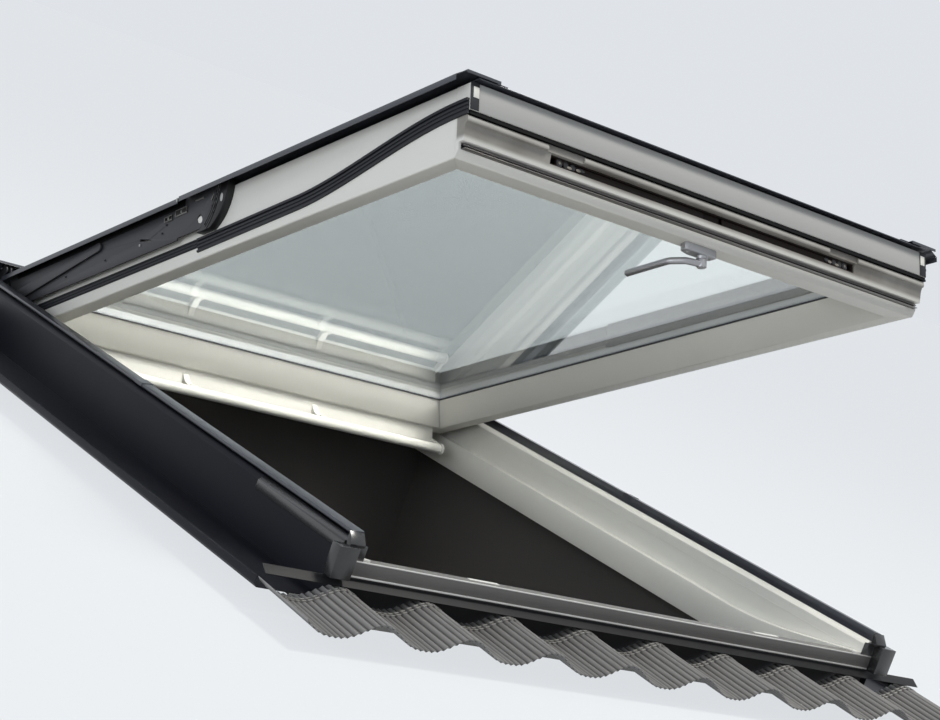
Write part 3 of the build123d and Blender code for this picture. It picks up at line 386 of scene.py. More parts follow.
    @staticmethod
    @cache
    def pleats() -> bpy.types.NodeTree:
        """Group that is 1 on the ridges of the apron's pleats and falls to 0 in their valleys, where it sets
        painted shade.

        Returns:
            The group.
        """
        tree, inp, out = new_group(
            "pleats",
            "ShaderNodeTree",
            ("Reach", "NodeSocketFloat", False, 0.706),
            ("Pitch", "NodeSocketFloat", False, 0.00975),
            ("Mask", "NodeSocketFloat", True),
        )
        place = add_node(tree, "ShaderNodeTexCoord")
        split = add_node(tree, "ShaderNodeSeparateXYZ")
        steps = []
        for operation, value in (
            ("ADD", None),
            ("DIVIDE", None),
            ("FRACT", None),
            ("SUBTRACT", 0.5),
            ("ABSOLUTE", None),
            ("MULTIPLY", 2.0),
            ("POWER", 0.75),
        ):
            node = add_node(tree, "ShaderNodeMath", operation=operation)
            if value is not None:
                node.inputs[1].default_value = value
            steps.append(node)
        wire(
            tree,
            (place, "Object", split, 0),
            (split, "X", steps[0], 0),
            (inp, "Reach", steps[0], 1),
        )
        for before, after in zip(steps, steps[1:]):
            wire(tree, (before, 0, after, 0))
        wire(
            tree,
            (inp, "Pitch", steps[1], 1),
            (steps[-1], 0, out, "Mask"),
        )
        return tree


def shade(colour: Triple, factor: float) -> Quad:
    """Makes a colour lighter or darker.

    Args:
        colour: The colour.
        factor: What it is multiplied by.

    Returns:
        The colour with alpha.
    """
    return (colour[0] * factor, colour[1] * factor, colour[2] * factor, 1.0)


@dataclass(frozen=True)
class Coat:
    """An opaque finish: mottled colour, fine grain in the bump, some dust, and painted shade where asked: in
    the recess below the sash's front profile and in the valleys of the apron's pleats.
    """

    name: str
    tone: Tone
    roughness: float = 0.5
    contrast: float = 0.10
    patch_scale: float = 5.0
    grain_scale: float = 700.0
    grain_depth: float = 0.00006
    stretch: Triple = (1.0, 1.0, 1.0)
    metallic: float = 0.0
    dust: float = 0.0
    dust_colour: Triple = (0.42, 0.40, 0.37)
    # Colour of the painted shade in the recess below the front profile.
    recess_shade_colour: Triple = (0.15, 0.135, 0.115)
    coat: float = 0.0
    specular: float = 0.5
    # Darkens the valleys of the apron's pleats with painted shade.
    pleated: bool = False
    # Darkens the recess below the front profile with painted shade.
    painted_recess_shade: bool = False

    @cache
    def build(self) -> bpy.types.Material:
        """Builds the node material.

        Returns:
            The material.
        """
        values = {
            "Metallic": self.metallic,
            "Specular IOR Level": self.specular,
            "Coat Weight": self.coat,
            "Coat Roughness": 0.25,
        }
        material, tree, shader = start_material(self.name, values)
        mottle = add_node(
            tree,
            "ShaderNodeGroup",
            {
                "Light": shade(self.tone.value, 1.0 + self.contrast),
                "Dark": shade(self.tone.value, 1.0 - self.contrast),
                "Patch Scale": self.patch_scale,
                "Roughness": self.roughness,
                "Spread": 0.25 * self.roughness,
            },
            node_tree=Effects.mottle(),
        )
        dust = add_node(tree, "ShaderNodeGroup", {"Amount": self.dust}, node_tree=Effects.dust())
        cover = add_node(tree, "ShaderNodeMix", {"B": (*self.dust_colour, 1.0)}, data_type="RGBA")
        grain = add_node(
            tree,
            "ShaderNodeGroup",
            {"Scale": self.grain_scale, "Stretch": self.stretch},
            node_tree=Effects.grain(),
        )
        bump = add_node(tree, "ShaderNodeBump", {"Distance": self.grain_depth})
        wire(
            tree,
            (mottle, "Color", cover, "A"),
            (dust, "Mask", cover, "Factor"),
        )
        # Painted shade: the recess below the front profile is darkened towards a warm dark grey, standing in
        # for the shade under its overhang.
        if self.painted_recess_shade:
            recess_shade_mask = add_node(tree, "ShaderNodeGroup", node_tree=Effects.recess())
            recess_shaded = add_node(tree, "ShaderNodeMix", {"B": (*self.recess_shade_colour, 1.0)}, data_type="RGBA")
            wire(
                tree,
                (recess_shade_mask, "Mask", recess_shaded, "Factor"),
                (cover, "Result", recess_shaded, "A"),
                (recess_shaded, "Result", shader, "Base Color"),
            )
        elif self.pleated:
            # Painted shade: the pleat valleys fall to near black, standing in for the shade between the
            # pleats.
            pleats = add_node(tree, "ShaderNodeGroup", node_tree=Effects.pleats())
            shadow = add_node(tree, "ShaderNodeMix", {"A": shade(self.tone.value, 0.07)}, data_type="RGBA")
            wire(
                tree,
                (pleats, "Mask", shadow, "Factor"),
                (cover, "Result", shadow, "B"),
                (shadow, "Result", shader, "Base Color"),
            )
        else:
            wire(tree, (cover, "Result", shader, "Base Color"))
        wire(
            tree,
            (mottle, "Roughness", shader, "Roughness"),
            (grain, "Height", bump, "Height"),
            (bump, "Normal", shader, "Normal"),
        )
        return material


@dataclass(frozen=True)
class Glass:
    """Clear float glass with a faint green tint."""

    name: str = "float_glass"
    tint: Triple = (0.955, 0.985, 0.975)

    @cache
    def build(self) -> bpy.types.Material:
        """Builds the glass material.

        Returns:
            The material.
        """
        material, tree, shader = start_material(self.name, {"Transmission Weight": 1.0, "IOR": 1.5})
        mottle = add_node(
            tree,
            "ShaderNodeGroup",
            {
                "Light": (*self.tint, 1.0),
                "Dark": shade(self.tint, 0.985),
                "Patch Scale": 3.0,
                "Roughness": 0.012,
                "Spread": 0.02,
            },
            node_tree=Effects.mottle(),
        )
        wire(
            tree,
            (mottle, "Color", shader, "Base Color"),
            (mottle, "Roughness", shader, "Roughness"),
        )
        path = add_node(tree, "ShaderNodeLightPath")
        clear = add_node(tree, "ShaderNodeMath", {1: -0.90, 2: 1.0}, operation="MULTIPLY_ADD")
        wire(
            tree,
            (path, "Is Shadow Ray", clear, 0),
            (clear, 0, shader, "Alpha"),
        )
        return material


WHITE = Coat("white_coat", Tone.WHITE, roughness=0.42, contrast=0.025, grain_scale=420.0, dust=0.10)
ANTHRACITE = Coat(
    "anthracite_coat", Tone.ANTHRACITE, roughness=0.30, contrast=0.10, metallic=0.2, dust=0.05, coat=0.35
)
LIGHT_GREY = Coat("light_grey_coat", Tone.LIGHT_GREY, roughness=0.42, contrast=0.03, metallic=0.1, dust=0.06)
# Painted highlight on the bottom cladding's edges.
EDGE_HIGHLIGHT = Coat("edge_highlight_coat", Tone.EDGE_HIGHLIGHT, roughness=0.35, contrast=0.10, metallic=0.3)
LOCK_BROWN = Coat(
    "lock_brown", Tone.LOCK_BROWN, roughness=0.55, contrast=0.25, patch_scale=60.0, specular=0.15
)
LOCK_BLACK = Coat("lock_black", Tone.BLACK, roughness=0.28, contrast=0.20, patch_scale=60.0)
# Painted highlights on the lock bars.
BEIGE_HIGHLIGHT = Coat(
    "beige_highlight", Tone.BEIGE_HIGHLIGHT, roughness=0.45, contrast=0.25, patch_scale=80.0, metallic=0.3
)
# Near black of the apron's flange: painted shade, the flashing sheet darkened where it lies in shadow under
# the cladding.
SHELF_SHADE_BLACK = Coat("shelf_shade_black", Tone.BLACK, roughness=0.55, contrast=0.20, dust=0.02, specular=0.25)
CORNER_BLACK = Coat("corner_black", Tone.BLACK, roughness=0.24, contrast=0.15, grain_depth=0.00003, coat=0.5)
SHEET_GREY = Coat("sheet_grey_coat", Tone.SHEET_GREY, roughness=0.46, contrast=0.10, metallic=0.1, dust=0.22)
# White of the sash's bottom rail, with painted shade in the recess below the front profile.
RAIL_WHITE = Coat(
    "rail_white_coat",
    Tone.WHITE,
    roughness=0.42,
    contrast=0.025,
    grain_scale=420.0,
    dust=0.06,
    painted_recess_shade=True,
)
# Side and head flashings: own dark tone deepened into painted shade.
FLASHING_DARK_SHADE = Coat("flashing_dark_shade_coat", Tone.FLASHING_DARK_SHADE, roughness=0.42, contrast=0.15, dust=0.004, specular=0.16)
# Black that is partly painted shade, for the arms' rails and the front gasket.
BLACK_AND_SHADE = Coat("black_and_shade", Tone.BLACK_AND_SHADE, roughness=0.5, contrast=0.2, specular=0.12)
# Apron grey, with painted shade in the valleys of its pleats.
APRON_GREY = Coat(
    "apron_coat", Tone.APRON_GREY, roughness=0.42, contrast=0.12, metallic=0.3, dust=0.08, pleated=True
)
CRIMP_GREY = Coat("crimp_coat", Tone.CRIMP_GREY, roughness=0.42, contrast=0.12, metallic=0.4)
GUARD_GREY = Coat("guard_rib_coat", Tone.GUARD_GREY, roughness=0.42, contrast=0.12)
DULL_STEEL = Coat(
    "dull_steel", Tone.DULL_STEEL, roughness=0.40, contrast=0.18, patch_scale=40.0, metallic=0.8
)
RUBBER = Coat(
    "seal_rubber", Tone.RUBBER, roughness=0.55, contrast=0.2, grain_depth=0.0001, dust=0.05, specular=0.3
)
BLACK = Coat(
    "black_moulding", Tone.BLACK, roughness=0.36, contrast=0.15, grain_depth=0.0001, dust=0.04, specular=0.35
)
ARM_GREY = Coat("arm_coat", Tone.ARM_GREY, roughness=0.45, contrast=0.12, metallic=0.4, dust=0.06)
ZINC = Coat("zinc_plate", Tone.ZINC, roughness=0.35, contrast=0.12, patch_scale=30.0, metallic=0.95)
SATIN = Coat("satin_cast", Tone.SATIN, roughness=0.42, contrast=0.06, grain_scale=1500.0, metallic=0.75)
FELT = Coat("pale_felt", Tone.FELT, roughness=0.9, contrast=0.08, grain_scale=2500.0, grain_depth=0.0006)
SPACER = Coat("spacer_bar", Tone.SPACER, roughness=0.4, contrast=0.05, metallic=0.8)
GLASS = Glass()

FINISHES: dict[str, Coat | Glass] = {
    "pu_white": WHITE,
    "anthracite": ANTHRACITE,
    "grey_profile": LIGHT_GREY,
    "flashing": SHEET_GREY,
    "rubber_black": RUBBER,
    "black_plastic": BLACK,
    "clear_glass": GLASS,
    "spacer": SPACER,
    "dark_steel": ARM_GREY,
    "zinc_steel": ZINC,
    "satin_aluminium": SATIN,
    "white_plastic": WHITE,
    "felt": FELT,
}


@cache
def soften_tree() -> bpy.types.NodeTree:
    """Geometry Nodes tree that joins a shell's triangles and shades its gentle edges smoothly.

    Returns:
        The node tree.
    """
    tree, inp, out = new_group(
        "soften_edges",
        "GeometryNodeTree",
        ("Geometry", "NodeSocketGeometry", False),
        ("Sharp Angle", "NodeSocketFloat", False, math.radians(SMOOTH_DEG)),
        ("Geometry", "NodeSocketGeometry", True),
    )
    angle = add_node(tree, "GeometryNodeInputMeshEdgeAngle")
    gentle = add_node(tree, "FunctionNodeCompare", data_type="FLOAT", operation="LESS_THAN")
    faces = add_node(tree, "GeometryNodeSetShadeSmooth", domain="FACE")
    edges = add_node(tree, "GeometryNodeSetShadeSmooth", domain="EDGE")
    wire(
        tree,
        (inp, "Geometry", faces, "Geometry"),
        (faces, "Geometry", edges, "Geometry"),
        (angle, "Unsigned Angle", gentle, 0),
        (inp, "Sharp Angle", gentle, 1),
        (gentle, "Result", edges, "Shade Smooth"),
        (edges, "Geometry", out, "Geometry"),
    )
    return tree


def smooth_modifier(piece: bpy.types.Object, sharp_deg: float = SMOOTH_DEG) -> None:
    """Adds the modifier that shades a piece smoothly, except at sharp edges.

    Args:
        piece: The piece.
        sharp_deg: Edges sharper than this stay crisp, in degrees.
    """
    smooth = piece.modifiers.new("smooth", "NODES")
    smooth.node_group = soften_tree()
    for item in smooth.node_group.interface.items_tree:
        if item.name == "Sharp Angle":
            smooth[item.identifier] = math.radians(sharp_deg)


def full_turn(sides: int) -> list[float]:
    """Spreads the corners of a ring evenly.

    Args:
        sides: How many corners.

    Returns:
        Their angles in radians.
    """
    return [2 * math.pi * i / sides for i in range(sides)]


@dataclass
class Form:
    """A mesh that grows block by block, in the window's or the sash's own axes, in millimetres."""

    on_sash: bool = False
    verts: list[Triple] = field(default_factory=list)
    faces: list[tuple[int, ...]] = field(default_factory=list)

    def prism(self, outline: list[Pair], x0: float, x1: float) -> None:
        """Adds a profile run across the window.

        Args:
            outline: Points of the profile, up the slope and outwards.
            x0: Where it starts.
            x1: Where it ends.
        """
        self.tube([[(x, y, z) for y, z in outline] for x in (x0, x1)])

    def tube(self, rings: list[list[Triple]]) -> None:
        """Adds a closed body between two rings.

        Args:
            rings: Both rings, with as many points.
        """
        first = len(self.verts)
        count = len(rings[0])
        self.verts += rings[0] + rings[1]
        self.faces.append(tuple(first + i for i in range(count)))
        self.faces.append(tuple(first + count + i for i in reversed(range(count))))
        for i in range(count):
            j = (i + 1) % count
            self.faces.append((first + i, first + count + i, first + count + j, first + j))

    def block(self, x0: float, x1: float, y0: float, y1: float, z0: float, z1: float) -> None:
        """Adds a rectangular block.

        Args:
            x0: Where it starts across the window.
            x1: Where it ends.
            y0: Where it starts up the slope.
            y1: Where it ends.
            z0: Where it starts outwards.
            z1: Where it ends.
        """
        self.prism([(y0, z0), (y1, z0), (y1, z1), (y0, z1)], x0, x1)

    def rim(self, x0: float, x1: float, low: Pair, high: Pair, wall: float) -> None:
        """Adds a rectangular rim that faces across the window.

        Args:
            x0: Where it starts.
            x1: Where it ends.
            low: Its lowest corner.
            high: Its highest corner.
            wall: Width of its edges.
        """
        (y0, z0), (y1, z1) = low, high
        self.block(x0, x1, y0, y1, z0, z0 + wall)
        self.block(x0, x1, y0, y1, z1 - wall, z1)
        self.block(x0, x1, y0, y0 + wall, z0 + wall, z1 - wall)
        self.block(x0, x1, y1 - wall, y1, z0 + wall, z1 - wall)

    def oval(self, x0: float, x1: float, centre: Pair, radii: Pair) -> None:
        """Adds an oval disc that faces across the window.

        Args:
            x0: Where it starts.
            x1: Where it ends.
            centre: Its middle.
            radii: Its radii up the slope and outwards.
        """
        y, z = centre
        ring = [(y + radii[0] * math.cos(a), z + radii[1] * math.sin(a)) for a in full_turn(OVAL_SIDES)]
        self.prism(ring, x0, x1)

    def stud(self, centre: Triple, radii: Pair, depth: float) -> None:
        """Adds an oval stud that faces down the slope.

        Args:
            centre: Middle of its back.
            radii: Its radii across the window and outwards.
            depth: How far it stands forward.
        """
        x, y, z = centre
        ring = [(x + radii[0] * math.cos(a), z + radii[1] * math.sin(a)) for a in full_turn(ROUND_SIDES)]
        self.tube([[(px, py, pz) for px, pz in ring] for py in (y, y - depth)])

    def roller(self, centre: Triple, radius: float, height: float) -> None:
        """Adds a round roller that stands outwards from the roof.

        Args:
            centre: Middle of its lower end.
            radius: Its radius.
            height: Its height.
        """
        x, y, z = centre
        ring = [(x + radius * math.cos(a), y + radius * math.sin(a)) for a in full_turn(ROUND_SIDES)]
        self.tube([[(px, py, pz) for px, py in ring] for pz in (z, z + height)])

    def arc(self, x0: float, x1: float, centre: Pair, radius: float, width: float, turn: Pair) -> None:
        """Adds a curved rib about a point, between two angles in degrees.

        Args:
            x0: Where it starts across the window.
            x1: Where it ends.
            centre: The point it bends about.
            radius: Its inner radius.
            width: Its width.
            turn: Its first and last angle.
        """
        steps = ARC_STEPS
        angles = [math.radians(turn[0] + (turn[1] - turn[0]) * i / steps) for i in range(steps + 1)]
        inner = [(centre[0] + radius * math.cos(a), centre[1] + radius * math.sin(a)) for a in angles]
        far = radius + width
        outer = [(centre[0] + far * math.cos(a), centre[1] + far * math.sin(a)) for a in angles]
        for i in range(steps):
            self.prism([inner[i], inner[i + 1], outer[i + 1], outer[i]], x0, x1)

    def mirror(self) -> None:
        """Adds the same shapes on the other side of the window."""
        first = len(self.verts)
        self.verts += [(-x, y, z) for x, y, z in self.verts]
        self.faces += [tuple(first + i for i in reversed(face)) for face in list(self.faces)]

    def piece(self, name: str, finish: Coat, body: str, slot: str, edge: float = 0.25) -> bpy.types.Object:
        """Makes the finished piece.

        Args:
            name: The piece's name.
            finish: Its finish.
            body: The body that it rides on.
            slot: The record's material slot; not used.
            edge: Radius of its rounded edges, in millimetres.

        Returns:
            The new object.
        """
        mesh = bpy.data.meshes.new(name)
        points = [SASH.to_row(*p) if self.on_sash else Vector(p) * MM for p in self.verts]
        mesh.from_pydata([tuple(p) for p in points], [], self.faces)
        work = bmesh.new()
        work.from_mesh(mesh)
        bmesh.ops.remove_doubles(work, verts=work.verts, dist=0.000001)
        bmesh.ops.recalc_face_normals(work, faces=work.faces)
        work.to_mesh(mesh)
        work.free()
        mesh.materials.append(finish.build())
        made = place_object(name, mesh)
        bevel = made.modifiers.new("edges", "BEVEL")
        bevel.width = edge * MM
        bevel.segments = 2
        bevel.limit_method = "ANGLE"
        smooth_modifier(made)
        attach(made, body)
        log.info("piece %s", name)
        return made


class Seed(Enum):
    """What a scatter tree sets on its points."""

    SCREW = "screw_heads"
    CRIMP = "crimps"


@cache
def scatter_tree(seed: Seed) -> bpy.types.NodeTree:
    """Geometry Nodes tree that sets one small part on every point, facing the way the point says.

    Args:
        seed: The small part.

    Returns:
        The node tree, with inputs Width, Length, Height and Finish.
    """
    tree, inp, out = new_group(
        seed.value,
        "GeometryNodeTree",
        ("Geometry", "NodeSocketGeometry", False),
        ("Width", "NodeSocketFloat", False, 0.004),
        ("Length", "NodeSocketFloat", False, 0.004),
        ("Height", "NodeSocketFloat", False, 0.002),
        ("Finish", "NodeSocketMaterial", False),
        ("Geometry", "NodeSocketGeometry", True),
    )
    facing = add_node(tree, "GeometryNodeInputNamedAttribute", {"Name": "facing"}, data_type="FLOAT_VECTOR")
    align = add_node(tree, "FunctionNodeAlignRotationToVector", axis="Z")
    place = add_node(tree, "GeometryNodeInstanceOnPoints")
    if seed is Seed.SCREW:
        head = add_node(tree, "GeometryNodeMeshCylinder", {"Vertices": 18})
        half = add_node(tree, "ShaderNodeMath", {1: 0.5}, operation="MULTIPLY")
        rim = add_node(tree, "GeometryNodeExtrudeMesh", {"Offset Scale": 0.0, "Individual": False})
        shrink = add_node(tree, "GeometryNodeScaleElements", {"Scale": 0.5})
        sink = add_node(tree, "ShaderNodeMath", {1: -0.6}, operation="MULTIPLY")
        dent = add_node(tree, "GeometryNodeExtrudeMesh", {"Individual": False})
        wire(
            tree,
            (inp, "Width", half, 0),
            (half, 0, head, "Radius"),
            (inp, "Height", head, "Depth"),
            (head, "Mesh", rim, "Mesh"),
            (head, "Top", rim, "Selection"),
            (rim, "Mesh", shrink, "Geometry"),
            (rim, "Top", shrink, "Selection"),
            (shrink, "Geometry", dent, "Mesh"),
            (rim, "Top", dent, "Selection"),
            (inp, "Height", sink, 0),
            (sink, 0, dent, "Offset Scale"),
            (dent, "Mesh", place, "Instance"),
        )
    else:
        size = add_node(tree, "ShaderNodeCombineXYZ")
        cube = add_node(tree, "GeometryNodeMeshCube")
        wire(
            tree,
            (inp, "Width", size, "X"),
            (inp, "Length", size, "Y"),
            (inp, "Height", size, "Z"),
            (size, 0, cube, "Size"),
            (cube, "Mesh", place, "Instance"),
        )
    real = add_node(tree, "GeometryNodeRealizeInstances")
    paint = add_node(tree, "GeometryNodeSetMaterial")
    wire(
        tree,
        (inp, "Geometry", place, "Points"),
        (facing, 0, align, "Vector"),
        (align, 0, place, "Rotation"),
        (place, "Instances", real, "Geometry"),
        (real, "Geometry", paint, "Geometry"),
        (inp, "Finish", paint, "Material"),
        (paint, "Geometry", out, "Geometry"),
    )
    return tree


@dataclass
class Scatter:
    """A row or pattern of small parts that one Geometry Nodes tree sets on points."""

    name: str
    seed: Seed
    finish: Coat
    body: str
    slot: str
    width: float
    length: float
    height: float

    def build(self, points: list[Vector], facing: list[Vector]) -> bpy.types.Object:
        """Makes one plain mesh of all the small parts.

        Args:
            points: Their places, in metres in the row frame.
            facing: The way that each one faces.

        Returns:
            The new object.
        """
        mesh = bpy.data.meshes.new(self.name + "_points")
        mesh.from_pydata([tuple(p) for p in points], [], [])
        way = mesh.attributes.new("facing", "FLOAT_VECTOR", "POINT")
        for item, vector in zip(way.data, facing):
            item.vector = vector
        seat = place_object(self.name + "_points", mesh)
        nodes = seat.modifiers.new("parts", "NODES")
        nodes.node_group = scatter_tree(self.seed)
        values = {
            "Width": self.width * MM,
            "Length": self.length * MM,
            "Height": self.height * MM,
            "Finish": self.finish.build(),
        }
        for item in nodes.node_group.interface.items_tree:
            if item.item_type == "SOCKET" and item.in_out == "INPUT" and item.name in values:
                nodes[item.identifier] = values[item.name]
        seen = seat.evaluated_get(bpy.context.evaluated_depsgraph_get())
        result = bpy.data.meshes.new_from_object(seen)
        result.name = self.name
        bpy.data.objects.remove(seat)
        made = place_object(self.name, result)
        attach(made, self.body)
        log.info("piece %s, %d parts", self.name, len(points))
        return made


def on_both_sides(places: list[Triple]) -> tuple[list[Vector], list[Vector]]:
    """Points of screws on the outer faces of both arms, and the way that they face.

    Args:
        places: Distance from the middle, up the sash and outwards, of the screws on the right.

    Returns:
        The points in metres and their facing vectors.
    """
    points, facing = [], []
    for x, s, h in places:
        for side in (1, -1):
            points.append(SASH.to_row(side * x, s, h))
            facing.append(Vector((side, 0.0, 0.0)))
    return points, facing


@dataclass
class ArmFittings:
    """Small parts on the outer faces of the arms, near the pivot and along the arm."""

    face_x: float = 539.0
    rail: Quad = (703.0, 1288.0, 99.5, 115.0)
    rail_depth: float = 1.2
    hole: Pair = (653.5, 64.0)
    hole_radii: Pair = (8.8, 6.3)
    plates: tuple[Quad, ...] = (
        (694.0, 730.0, 86.5, 98.5),
        (741.0, 764.0, 84.5, 94.0),
    )
    plate_base: float = 0.8
    plate_rim: float = 1.3
    latch: tuple[Pair, ...] = ((613.0, 101.0), (611.0, 100.0), (618.0, 88.5), (620.0, 89.5))
    plug_x: Pair = (-3.4, -1.2)
    plate_depth: float = 2.4
    blade: Quad = (643.0, 669.0, 99.4, 101.6)
    screws: tuple[Pair, ...] = ((841.5, 62.0), (712.0, 92.5), (752.5, 89.2))
    rivets: tuple[Pair, ...] = (
        (771.0, 67.0),
        (758.5, 79.5),
        (960.0, 62.0),
        (1100.0, 62.0),
        (1230.0, 66.0),
    )

    def build(self) -> None:
        """Builds the rails, plugs, plates, blades, screws and rivets of both arms."""
        x = self.face_x
        s0, s1, h0, h1 = self.rail
        # The slide rails are a black strip that is partly painted shade, filling the cover's shadow on the
        # arm's web.
        rail = Form(on_sash=True)
        rail.block(x, x + self.rail_depth, s0, s1, h0, h1)
        rail.mirror()
        rail.piece("arm_slide_rails", BLACK_AND_SHADE, "arms", "black_plastic", 0.3)
        plugs = Form(on_sash=True)
        plugs.oval(x + self.plug_x[0], x + self.plug_x[1], self.hole, self.hole_radii)
        plugs.mirror()
        plugs.piece("arm_hole_plugs", WHITE, "arms", "white_plastic", 0.2)
        plates = Form(on_sash=True)
        for s0, s1, h0, h1 in self.plates:
            plates.block(x, x + self.plate_base, s0, s1, h0, h1)
            plates.rim(x + self.plate_base, x + self.plate_depth, (s0, h0), (s1, h1), self.plate_rim)
        s0, s1, h0, h1 = self.blade
        plates.block(x, x + self.plate_depth, s0, s1, h0, h1)
        plates.prism(list(self.latch), x, x + self.plate_depth)
        plates.mirror()
        plates.piece("arm_catch_plates", DULL_STEEL, "arms", "zinc_steel", 0.3)
        for name, finish, places, width in (
            ("arm_screws", ZINC, self.screws, 4.6),
            ("arm_rivets", ARM_GREY, self.rivets, 4.2),
        ):
            points, facing = on_both_sides([(x + 0.9, s, h) for s, h in places])
            Scatter(name, Seed.SCREW, finish, "arms", "zinc_steel", width, width, 1.8).build(points, facing)


@dataclass
class GuardFittings:
    """Curved ribs and the oval pad on the black guards beside the arms' ends."""

    face_x: float = 540.0
    pivot: Pair = (700.0, 122.5)
    ribs: tuple[float, ...] = (94.5, 99.5, 105.0)
    turn: Pair = (186.0, 229.0)
    rib_depth: float = 1.1
    rib_width: float = 2.2
    pad: Pair = (588.5, 87.0)
    pad_radii: Pair = (4.0, 7.5)

    def build(self) -> None:
        """Builds the ribs and the pads on both sides."""
        x = self.face_x
        ribs = Form(on_sash=True)
        for radius in self.ribs:
            ribs.arc(x, x + self.rib_depth, self.pivot, radius, self.rib_width, self.turn)
        ribs.mirror()
        ribs.piece("guard_ribs", GUARD_GREY, "sash", "black_plastic", 0.2)
        pads = Form(on_sash=True)
        pads.oval(x, x + 1.0, self.pad, self.pad_radii)
        pads.mirror()
        pads.piece("guard_pads", LIGHT_GREY, "sash", "grey_profile", 0.4)


@dataclass
class LockFittings:
    """Cams, rollers and beige tabs on the sliding lock bars, the tabs being painted highlights, and the
    screws of the lock's channel.
    """

    left: Pair = (-342.0, -317.0)
    right: Pair = (292.0, 329.0)
    front_s: float = -14.6
    depth: float = 2.7
    middle_h: float = 41.2
    cams: tuple[tuple[float, Pair], ...] = (
        (6.4, (6.2, 6.6)),
        (19.5, (5.0, 6.0)),
        (34.0, (5.6, 5.0)),
        (52.0, (7.0, 3.4)),
    )
    tabs: tuple[tuple[float, Pair, float], ...] = (
        (26.6, (5.0, 2.3), 38.4),
        (45.0, (4.6, 2.6), 39.4),
        (6.4, (2.2, 2.6), 41.2),
    )
    tab_depth: float = 0.9
    screw_s: float = -2.4
    screw_xs: tuple[float, ...] = (-262.0, -170.0, -78.0, 60.0, 152.0, 244.0)

    def build(self) -> None:
        """Builds the parts on each bar and the screws in the channel's back wall."""
        for name, (x0, x1), side in (("lock_left", self.left, 1), ("lock_right", self.right, -1)):
            outer, s = (x0 if side > 0 else x1), self.front_s
            cams = Form(on_sash=True)
            for gap, radii in self.cams:
                cams.stud((outer + side * gap, s, self.middle_h), radii, self.depth)
            cams.piece(name + "_cams", LOCK_BLACK, name, "dark_steel", 0.7)
            # Painted highlights: beige studs on the bar.
            tabs = Form(on_sash=True)
            for gap, radii, h in self.tabs:
                tabs.stud((outer + side * gap, s - self.depth + 0.4, h), radii, self.tab_depth)
            tabs.piece(name + "_tabs", BEIGE_HIGHLIGHT, name, "zinc_steel", 0.3)
        points = [SASH.to_row(x, self.screw_s, self.middle_h) for x in self.screw_xs]
        facing = [SASH.way(0, -1, 0)] * len(points)
        screws = Scatter("lock_screws", Seed.SCREW, DULL_STEEL, "sash", "zinc_steel", 6.0, 6.0, 1.6)
        screws.build(points, facing)


@dataclass
class FrontTrim:
    """Trim at the lower end of the sash: end caps of the front profile and lines in the lip groove."""

    half_x: float = 525.0
    cap_width: float = 16.0
    face_s: float = -32.1
    profile_h: Pair = (67.6, 110.6)
    strip_h: Pair = (86.5, 103.5)
    tab_inset: Pair = (0.8, 4.4)
    groove_half: float = 519.6
    groove_lines: tuple[Quad, ...] = (
        (-14.2, -11.0, 17.6, 18.5),
        (-16.4, -6.0, 12.7, 13.6),
    )

    def build(self) -> None:
        """Builds the caps, their pale tabs and the lines in the groove."""
        low, high = self.profile_h
        x1 = self.half_x + 0.2
        x0 = x1 - self.cap_width
        caps = Form(on_sash=True)
        caps.block(x0, x1, self.face_s, self.face_s + 1.0, low, high)
        caps.mirror()
        caps.piece("profile_end_caps", RUBBER, "sash", "rubber_black", 0.3)
        tabs = Form(on_sash=True)
        h0, h1 = self.strip_h
        tabs.block(x0 + self.tab_inset[0], x1 - self.tab_inset[1], self.face_s - 0.7, self.face_s, h0, h1)
        tabs.mirror()
        tabs.piece("profile_end_tabs", WHITE, "sash", "pu_white", 0.3)
        lines = Form(on_sash=True)
        for s0, s1, h0, h1 in self.groove_lines:
            lines.block(-self.groove_half, self.groove_half, s0, s1, h0, h1)
        lines.piece("lip_groove_lines", DULL_STEEL, "sash", "zinc_steel", 0.2)


@dataclass
class HandleFittings:
    """Screws in the handle's base and the cap on the lever's hub."""

    hub: Pair = (8.0, 16.0)
    base_h: float = -13.0
    screws: tuple[Pair, ...] = ((-33.0, 15.0), (20.0, 16.5))
    cap_h: float = -31.8
    cap_radius: float = 5.4
    cap_height: float = 1.4

    def build(self) -> None:
        """Builds the screws and the cap."""
        x, s = self.hub
        down = SASH.way(0, 0, -1)
        points = [SASH.to_row(x + dx, screw_s, self.base_h - 0.3) for dx, screw_s in self.screws]
        heads = Scatter("handle_screws", Seed.SCREW, ZINC, "sash", "zinc_steel", 5.6, 5.6, 1.4)
        heads.build(points, [down] * len(points))
        cap = Form(on_sash=True)
        cap.roller((x, s, self.cap_h - 1.0), self.cap_radius, self.cap_height)
        cap.piece("handle_hub_cap", SATIN, "handle", "satin_aluminium", 0.5)


